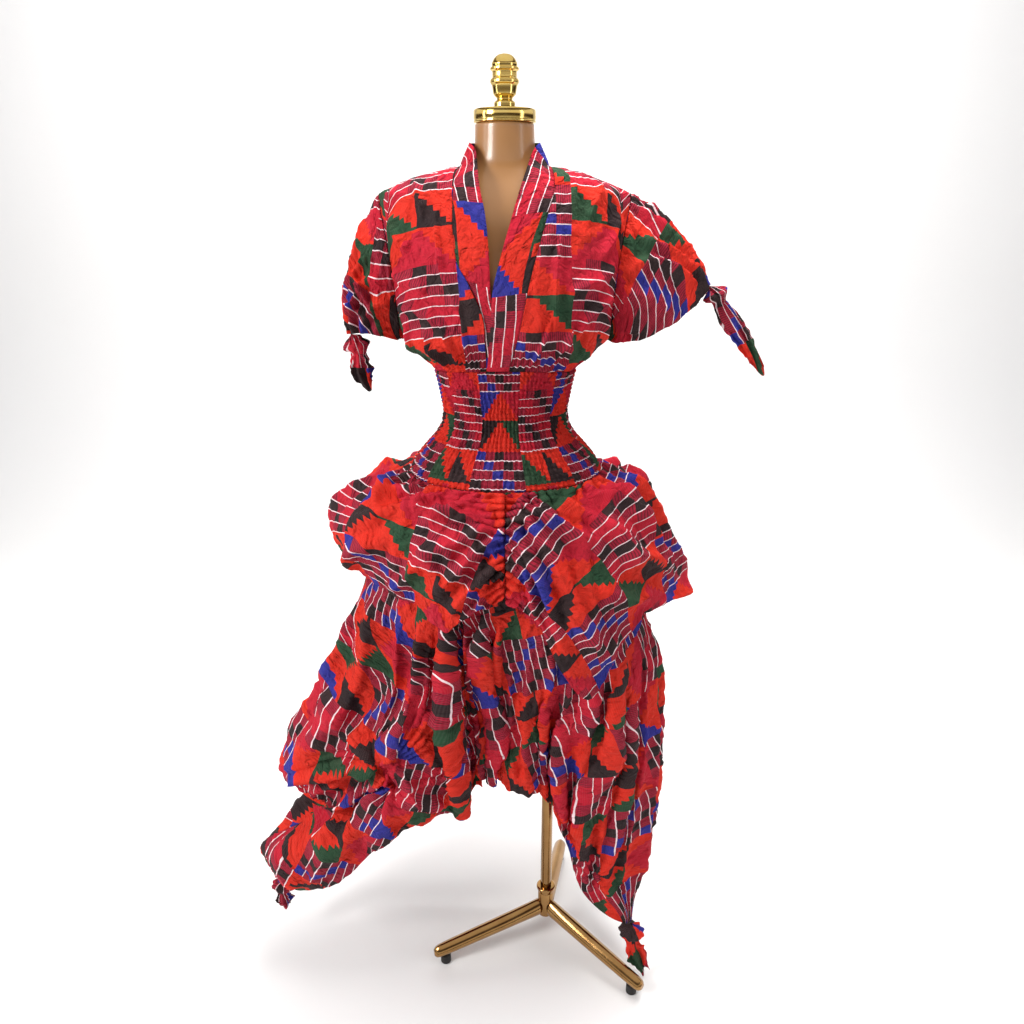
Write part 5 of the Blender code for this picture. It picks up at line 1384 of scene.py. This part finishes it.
# Skirt: a long handkerchief skirt, short in the middle, whose two corners hang low and are tied.
# The left corner swings far out with two pulled folds; the right one falls straight beside the pole.
# Angle round the body, then reach and height at six levels down
SKIRT = (
    (-180.0, 0.265, 0.900, 0.346, 0.705, 0.474, 0.468, 0.382, 0.356, 0.530, 0.252, 0.505, 0.176),
    (-172.0, 0.258, 0.900, 0.330, 0.715, 0.452, 0.490, 0.368, 0.385, 0.496, 0.275, 0.458, 0.176),
    (-160.0, 0.236, 0.900, 0.276, 0.720, 0.348, 0.560, 0.322, 0.460, 0.394, 0.355, 0.372, 0.262),
    (-145.0, 0.206, 0.900, 0.228, 0.740, 0.290, 0.600, 0.262, 0.525, 0.290, 0.460, 0.262, 0.400),
    (-130.0, 0.186, 0.905, 0.198, 0.760, 0.232, 0.640, 0.222, 0.560, 0.214, 0.500, 0.190, 0.450),
    (-122.0, 0.178, 0.910, 0.184, 0.780, 0.190, 0.670, 0.186, 0.590, 0.176, 0.510, 0.160, 0.430),
    (-112.0, 0.164, 0.910, 0.142, 0.790, 0.122, 0.700, 0.118, 0.640, 0.118, 0.580, 0.116, 0.520),
    (-92.0, 0.160, 0.915, 0.150, 0.800, 0.138, 0.710, 0.134, 0.640, 0.132, 0.570, 0.130, 0.500),
    (-70.0, 0.170, 0.910, 0.160, 0.790, 0.146, 0.690, 0.142, 0.620, 0.140, 0.550, 0.138, 0.485),
    (-50.0, 0.190, 0.900, 0.200, 0.760, 0.178, 0.640, 0.160, 0.560, 0.150, 0.500, 0.146, 0.440),
    (-39.0, 0.208, 0.890, 0.234, 0.730, 0.220, 0.590, 0.196, 0.480, 0.180, 0.370, 0.176, 0.265),
    (-31.0, 0.215, 0.885, 0.252, 0.725, 0.248, 0.560, 0.228, 0.420, 0.212, 0.290, 0.212, 0.170),
    (-22.0, 0.225, 0.880, 0.268, 0.720, 0.276, 0.540, 0.264, 0.390, 0.250, 0.260, 0.250, 0.140),
    (-10.0, 0.236, 0.880, 0.284, 0.710, 0.294, 0.500, 0.290, 0.350, 0.282, 0.225, 0.276, 0.130),
    (3.0, 0.240, 0.880, 0.286, 0.710, 0.293, 0.520, 0.291, 0.380, 0.286, 0.250, 0.280, 0.145),
    (18.0, 0.236, 0.880, 0.278, 0.720, 0.282, 0.560, 0.274, 0.430, 0.262, 0.320, 0.252, 0.225),
    (40.0, 0.222, 0.890, 0.256, 0.740, 0.258, 0.610, 0.250, 0.510, 0.242, 0.420, 0.234, 0.340),
    (70.0, 0.208, 0.900, 0.226, 0.760, 0.228, 0.650, 0.222, 0.560, 0.216, 0.480, 0.210, 0.405),
    (100.0, 0.205, 0.900, 0.228, 0.760, 0.234, 0.650, 0.224, 0.560, 0.220, 0.490, 0.214, 0.415),
    (130.0, 0.212, 0.900, 0.252, 0.745, 0.272, 0.620, 0.254, 0.530, 0.262, 0.440, 0.248, 0.360),
    (158.0, 0.236, 0.900, 0.296, 0.720, 0.372, 0.550, 0.322, 0.440, 0.396, 0.340, 0.372, 0.262),
    (180.0, 0.265, 0.900, 0.346, 0.705, 0.474, 0.468, 0.382, 0.356, 0.530, 0.252, 0.505, 0.176),
)
# side, depth and height of a knot, and the height where the cloth starts to draw in towards it
TIE_RIGHT = (0.262, -0.110, 0.140, 0.250)
TIE_LEFT = (-0.492, -0.008, 0.160, 0.250)
TIE_REACH = 0.30
TIE_SQUEEZE = 0.2
TIE_CLEARANCE = 0.001
SKIRT_ROWS = 150
# angle of the seam of the left swath, a panel of its own, and the slant of its print
SWATH_SEAM = -117.0
SWATH_TURN = 70.0


def tie_corner(grid, tie, squeeze):
    """Draws the long corner of the skirt together towards the knot."""
    x, y, low, high = tie
    same_side = np.sign(grid[:, :, 0]) == np.sign(x)
    near = np.hypot(grid[:, :, 0] - x, grid[:, :, 1] - y) < TIE_REACH
    pull = ease((high - grid[:, :, 2]) / (high - low)) * same_side * near
    scale = 1 - (1 - squeeze) * pull
    grid[:, :, 0] = x + (grid[:, :, 0] - x) * scale
    grid[:, :, 1] = y + (grid[:, :, 1] - y) * scale
    hem = grid[-1, :, 2]
    meets = ease((high - hem) / (high - low)) * (pull[-1] > 0)
    stretch = (high - low) / np.maximum(high - hem, GAP)
    level = high - (high - grid[:, :, 2]) * stretch[None, :]
    drawn = grid[:, :, 2] + (level - grid[:, :, 2]) * meets
    grid[:, :, 2] = np.where(grid[:, :, 2] < high, drawn, grid[:, :, 2])
    return grid


SKIRT_CREASES = {
    "skirt_front": (
        (-122, 0.16, -124, 0.98, 0.014, 0.016), (-112, 0.14, -116, 0.98, 0.010, 0.016),
        (-103, 0.16, -107, 0.95, 0.010, 0.014), (-94, 0.20, -99, 0.92, 0.010, 0.012),
        (-145, 0.55, -174, 0.30, 0.020, 0.012), (-145, 0.55, -172, 0.52, 0.020, 0.013),
        (-146, 0.56, -168, 0.74, 0.020, 0.013), (-144, 0.57, -158, 0.92, 0.018, 0.012),
        (-142, 0.56, -146, 0.96, 0.016, 0.012), (-143, 0.52, -150, 0.20, 0.018, 0.012),
        (-138, 0.54, -136, 0.20, 0.016, 0.012), (-138, 0.58, -130, 0.95, 0.014, 0.012),
        (-160, 0.18, -166, 0.50, 0.020, 0.011), (-172, 0.20, -176, 0.48, 0.020, 0.010),
        (-166, 0.66, -176, 0.84, 0.022, 0.012), (-164, 0.68, -170, 0.98, 0.020, 0.012),
        (-160, 0.70, -162, 0.98, 0.018, 0.011),
        (-55, 0.25, -44, 0.96, 0.014, 0.013), (-46, 0.22, -36, 0.96, 0.014, 0.013),
        (-37, 0.20, -30, 0.98, 0.014, 0.012), (-29, 0.24, -25, 0.98, 0.016, 0.012),
        (-20, 0.20, -18, 0.98, 0.018, 0.012), (-11, 0.24, -13, 0.98, 0.018, 0.012),
        (-3, 0.22, -8, 0.96, 0.018, 0.011), (-64, 0.28, -60, 0.80, 0.012, 0.010),
        (-76, 0.30, -74, 0.98, 0.014, 0.006), (-86, 0.30, -84, 0.98, 0.014, 0.006),
    ),
    "skirt_back": (
        (8, 0.20, 6, 0.95, 0.018, 0.012), (18, 0.22, 14, 0.95, 0.018, 0.012),
        (30, 0.18, 26, 0.92, 0.018, 0.013), (44, 0.20, 40, 0.95, 0.018, 0.013),
        (58, 0.16, 56, 0.95, 0.018, 0.013), (72, 0.20, 72, 0.95, 0.018, 0.013),
        (86, 0.16, 88, 0.95, 0.018, 0.013), (100, 0.20, 104, 0.95, 0.018, 0.013),
        (114, 0.18, 120, 0.95, 0.018, 0.013), (128, 0.20, 136, 0.95, 0.020, 0.013),
        (142, 0.18, 150, 0.95, 0.020, 0.013), (156, 0.20, 162, 0.92, 0.020, 0.013),
        (168, 0.22, 172, 0.92, 0.020, 0.012),
    ),
}
# Points where the cloth is caught up: angle, level, number of folds, depth, and where they begin and end
SKIRT_CATCHES = {
    "skirt_front": (
        (-145, 0.55, 17, 0.0050, 0.03, 0.24), (-166, 0.66, 13, 0.0045, 0.03, 0.16),
        (-16, 0.90, 12, 0.0035, 0.03, 0.20),
    ),
    "skirt_back": (
        (148, 0.55, 17, 0.0050, 0.03, 0.24), (166, 0.68, 13, 0.0045, 0.03, 0.16),
        (62, 0.40, 12, 0.0040, 0.03, 0.22),
    ),
}
# Pipe folds: first and last angle, how many, depth in metres, level where they start, lean
SKIRT_PIPES = {
    "skirt_front": (
        (-131, -90, 4.0, 0.017, 0.16, 0.05), (-66, -6, 5.5, 0.010, 0.20, 0.10),
        (-176, -134, 3.5, 0.009, 0.20, -0.10),
    ),
    "skirt_back": ((6, 86, 7.0, 0.010, 0.20, 0.05), (90, 172, 7.0, 0.010, 0.20, -0.05)),
}
for name, first, last, columns, seed, turn, shift in (
    ("skirt_front", -180.0, 0.0, 290, 79, 104.0, (0.04, 0.02)),
    ("skirt_back", 0.0, 180.0, 210, 83, 78.0, (0.01, 0.06)),
):
    angles = np.linspace(first + SEAM_DEGREES, last - SEAM_DEGREES, columns)
    # two columns lie close together on either side of the swath's seam, where the print changes
    seam = int(np.searchsorted(angles, SWATH_SEAM))
    if first < 0:
        angles[seam - 1] = SWATH_SEAM - 0.01
        angles[seam] = SWATH_SEAM + 0.01
    levels = np.linspace(0, 1, SKIRT_ROWS)
    grid = skirt_points(SKIRT, angles, levels, SKIRT_STAND_OFF, WAIST_BOTTOM - GAP)
    grid = add_folds(grid, angles, levels, 0.009, FOLD_LEAN)
    push = 1.8 * body_creases(angles, levels, SKIRT_CREASES[name], 0.25, 0.75)
    push = push + radiating(angles, levels, SKIRT_CATCHES[name], 0.30, 0.75)
    push = push + drape_gathers(angles, levels, 40, seed, 0.004)
    fade = edge_fade(SKIRT_ROWS, columns, 0.16, 0.0, 0.012, 0.012)
    low = ease((grid[:, :, 2] - 0.14) / 0.12)
    fade = fade * (0.25 + 0.75 * low)
    grid = pipe_folds(grid, angles, levels, SKIRT_PIPES[name])
    cloth_u, cloth_v = gathered_measure(grid, columns // 2, 0.72)
    slant = np.where(angles < SWATH_SEAM, SWATH_TURN, turn)[None, :]
    print_uv = turned_print(cloth_u, cloth_v, slant, shift)
    grid = grid + outward(grid, row_centres(grid)) * (push * fade)[:, :, None]
    grid = uneven_hem(grid, levels, seed, 0.016)
    push = crumples(cloth_v, cloth_u, seed, 1.7, 1.0) * fade
    grid = grid + outward(grid, row_centres(grid)) * push[:, :, None]
    grid = tie_corner(grid, TIE_RIGHT, TIE_SQUEEZE)
    grid = tie_corner(grid, TIE_LEFT, TIE_SQUEEZE)
    side = -1 if first < 0 else 1
    beyond = (grid[:, :, 2] < TIE_LEFT[3]) & (side * grid[:, :, 1] < TIE_CLEARANCE) & (grid[:, :, 0] < 0)
    grid[:, :, 1] = np.where(beyond, side * TIE_CLEARANCE, grid[:, :, 1])
    piece = sew_sheet(name + "_cloth", grid, print_uv)
    declare(piece, name)


# Knots: each long corner and each sleeve corner is tied in one overhand knot, and a short tail hangs from it.
# The cloth twists as it enters, a wrapped turn lies round the middle, and the tail opens out flat.
# Way of the cloth through the knot and the tail: place, half width, half thickness
KNOTS = {
    "sleeve_knot_right": (
        (0.3425, -0.008, 1.4270, 0.0030, 0.0030), (0.3470, -0.009, 1.4220, 0.0140, 0.0130),
        (0.3550, -0.010, 1.4120, 0.0190, 0.0170), (0.3625, -0.011, 1.4010, 0.0125, 0.0110),
        (0.3700, -0.012, 1.3880, 0.0145, 0.0080), (0.3800, -0.013, 1.3740, 0.0180, 0.0070),
        (0.3960, -0.014, 1.3540, 0.0190, 0.0065), (0.4130, -0.015, 1.3320, 0.0150, 0.0060),
        (0.4280, -0.015, 1.3090, 0.0100, 0.0050), (0.4390, -0.015, 1.2880, 0.0045, 0.0030),
    ),
    "sleeve_knot_left": (
        (-0.2640, -0.011, 1.3480, 0.0030, 0.0030), (-0.2610, -0.012, 1.3410, 0.0150, 0.0130),
        (-0.2560, -0.013, 1.3280, 0.0200, 0.0170), (-0.2520, -0.014, 1.3150, 0.0150, 0.0110),
        (-0.2500, -0.015, 1.3000, 0.0165, 0.0080), (-0.2480, -0.016, 1.2840, 0.0180, 0.0070),
        (-0.2430, -0.016, 1.2690, 0.0140, 0.0055), (-0.2380, -0.016, 1.2570, 0.0060, 0.0035),
    ),
    "skirt_knot_left": (
        (-0.4920, -0.008, 0.1600, 0.0170, 0.0150), (-0.4925, -0.009, 0.1480, 0.0215, 0.0190),
        (-0.4935, -0.010, 0.1350, 0.0190, 0.0160), (-0.4930, -0.011, 0.1250, 0.0120, 0.0100),
        (-0.4925, -0.013, 0.1130, 0.0170, 0.0080), (-0.4900, -0.015, 0.1010, 0.0150, 0.0060),
        (-0.4870, -0.016, 0.0920, 0.0050, 0.0030),
    ),
    "skirt_knot_right": (
        (0.2620, -0.110, 0.1400, 0.0170, 0.0150), (0.2625, -0.111, 0.1280, 0.0230, 0.0210),
        (0.2640, -0.112, 0.1120, 0.0230, 0.0190), (0.2660, -0.113, 0.0970, 0.0140, 0.0120),
        (0.2700, -0.115, 0.0800, 0.0180, 0.0090), (0.2780, -0.118, 0.0600, 0.0200, 0.0070),
        (0.2880, -0.122, 0.0400, 0.0140, 0.0050), (0.2950, -0.125, 0.0250, 0.0050, 0.0030),
    ),
}
# Where each knot's cloth lies on the print
KNOT_PRINTS = {
    "sleeve_knot_right": (0.130, 0.085), "sleeve_knot_left": (0.310, 0.197),
    "skirt_knot_left": (0.140, 0.085), "skirt_knot_right": (0.130, 0.197),
}
KNOT_ROWS = 64
KNOT_COLUMNS = 48
for seed, (name, table) in enumerate(KNOTS.items()):
    data = np.array(table)
    step = np.linalg.norm(np.diff(data[:, :3], axis=0), axis=1)
    keys = np.concatenate([[0.0], np.cumsum(step)])
    keyed = [(k,) + tuple(row) for k, row in zip(keys, data)]
    way = np.linspace(0, keys[-1], KNOT_ROWS)
    columns = [smooth(keyed, c, way) for c in range(1, 6)]
    centre = np.stack(columns[:3], axis=1)
    tangent = np.gradient(centre, axis=0)
    tangent /= np.linalg.norm(tangent, axis=1)[:, None]
    across = np.cross(tangent, np.array([0.0, 1.0, 0.0]))
    across /= np.linalg.norm(across, axis=1)[:, None]
    deep = np.cross(tangent, across)
    turn = np.linspace(0, 2 * math.pi, KNOT_COLUMNS)[None, :]
    fattest = way[int(np.argmax(columns[3][:KNOT_ROWS // 2]))]
    share = (way / keys[-1])[:, None]
    # pleats draw in above and below the knot; a wrapped turn lies slantwise over it between two grooves
    slant = (way[:, None] - fattest - 0.007 * np.sin(turn + 0.7)) / 0.0065
    wrap = 0.26 * np.exp(-slant ** 2) - 0.16 * np.exp(-(np.abs(slant) - 1.9) ** 2 / 0.35)
    neck = 0.25 + 0.75 * ease(share / 0.09)
    pleats = 1 - 0.20 * np.abs(np.sin(4.5 * turn + 5.0 * share)) - 0.05 * np.sin(11 * turn + 9 * share)
    tail = ease((share - 0.40) / 0.18)
    torn = crumple_noise(share * 10.0 + 0.0 * turn, np.cos(turn) * 1.3 + 0.0 * share, seed + 91)
    ragged = 1 + tail * 0.45 * torn
    wide = neck * columns[3][:, None] * (pleats * (1 - 0.6 * tail) + 0.6 * tail + wrap) * ragged
    thick = neck * columns[4][:, None] * (pleats + wrap) * (1 - 0.45 * tail)
    place = np.cos(turn)
    pleated = tail * columns[3][:, None] * (
        0.26 * np.sin(2 * math.pi * (1.15 * place + 0.8 * share)) + 0.30 * np.sin(1.6 * place + 5.0 * share)
    )
    wide = np.maximum(wide, 0.0105 * tail)
    around_w = wide * place
    around_t = thick * np.sin(turn) + pleated
    # the cut end runs out in two uneven points
    tip = ease((share - 0.80) / 0.2) * 0.09 * keys[-1] * np.sin(2.4 * place + 0.9 + seed)
    grid = centre[:, None, :] + around_w[:, :, None] * across[:, None, :]
    grid = grid + around_t[:, :, None] * deep[:, None, :] + tip[:, :, None] * tangent[:, None, :]
    grid[:, -1] = grid[:, 0]
    cloth_u = np.sin(turn / 2) * 0.06 + 0.0 * share
    print_uv = turned_print(cloth_u, way[:, None] + 0.0 * cloth_u, 84.0, KNOT_PRINTS[name])
    piece = sew_sheet(name + "_cloth", grid, print_uv, centre, seam=True, thickness=0.0009)
    declare(piece, name)
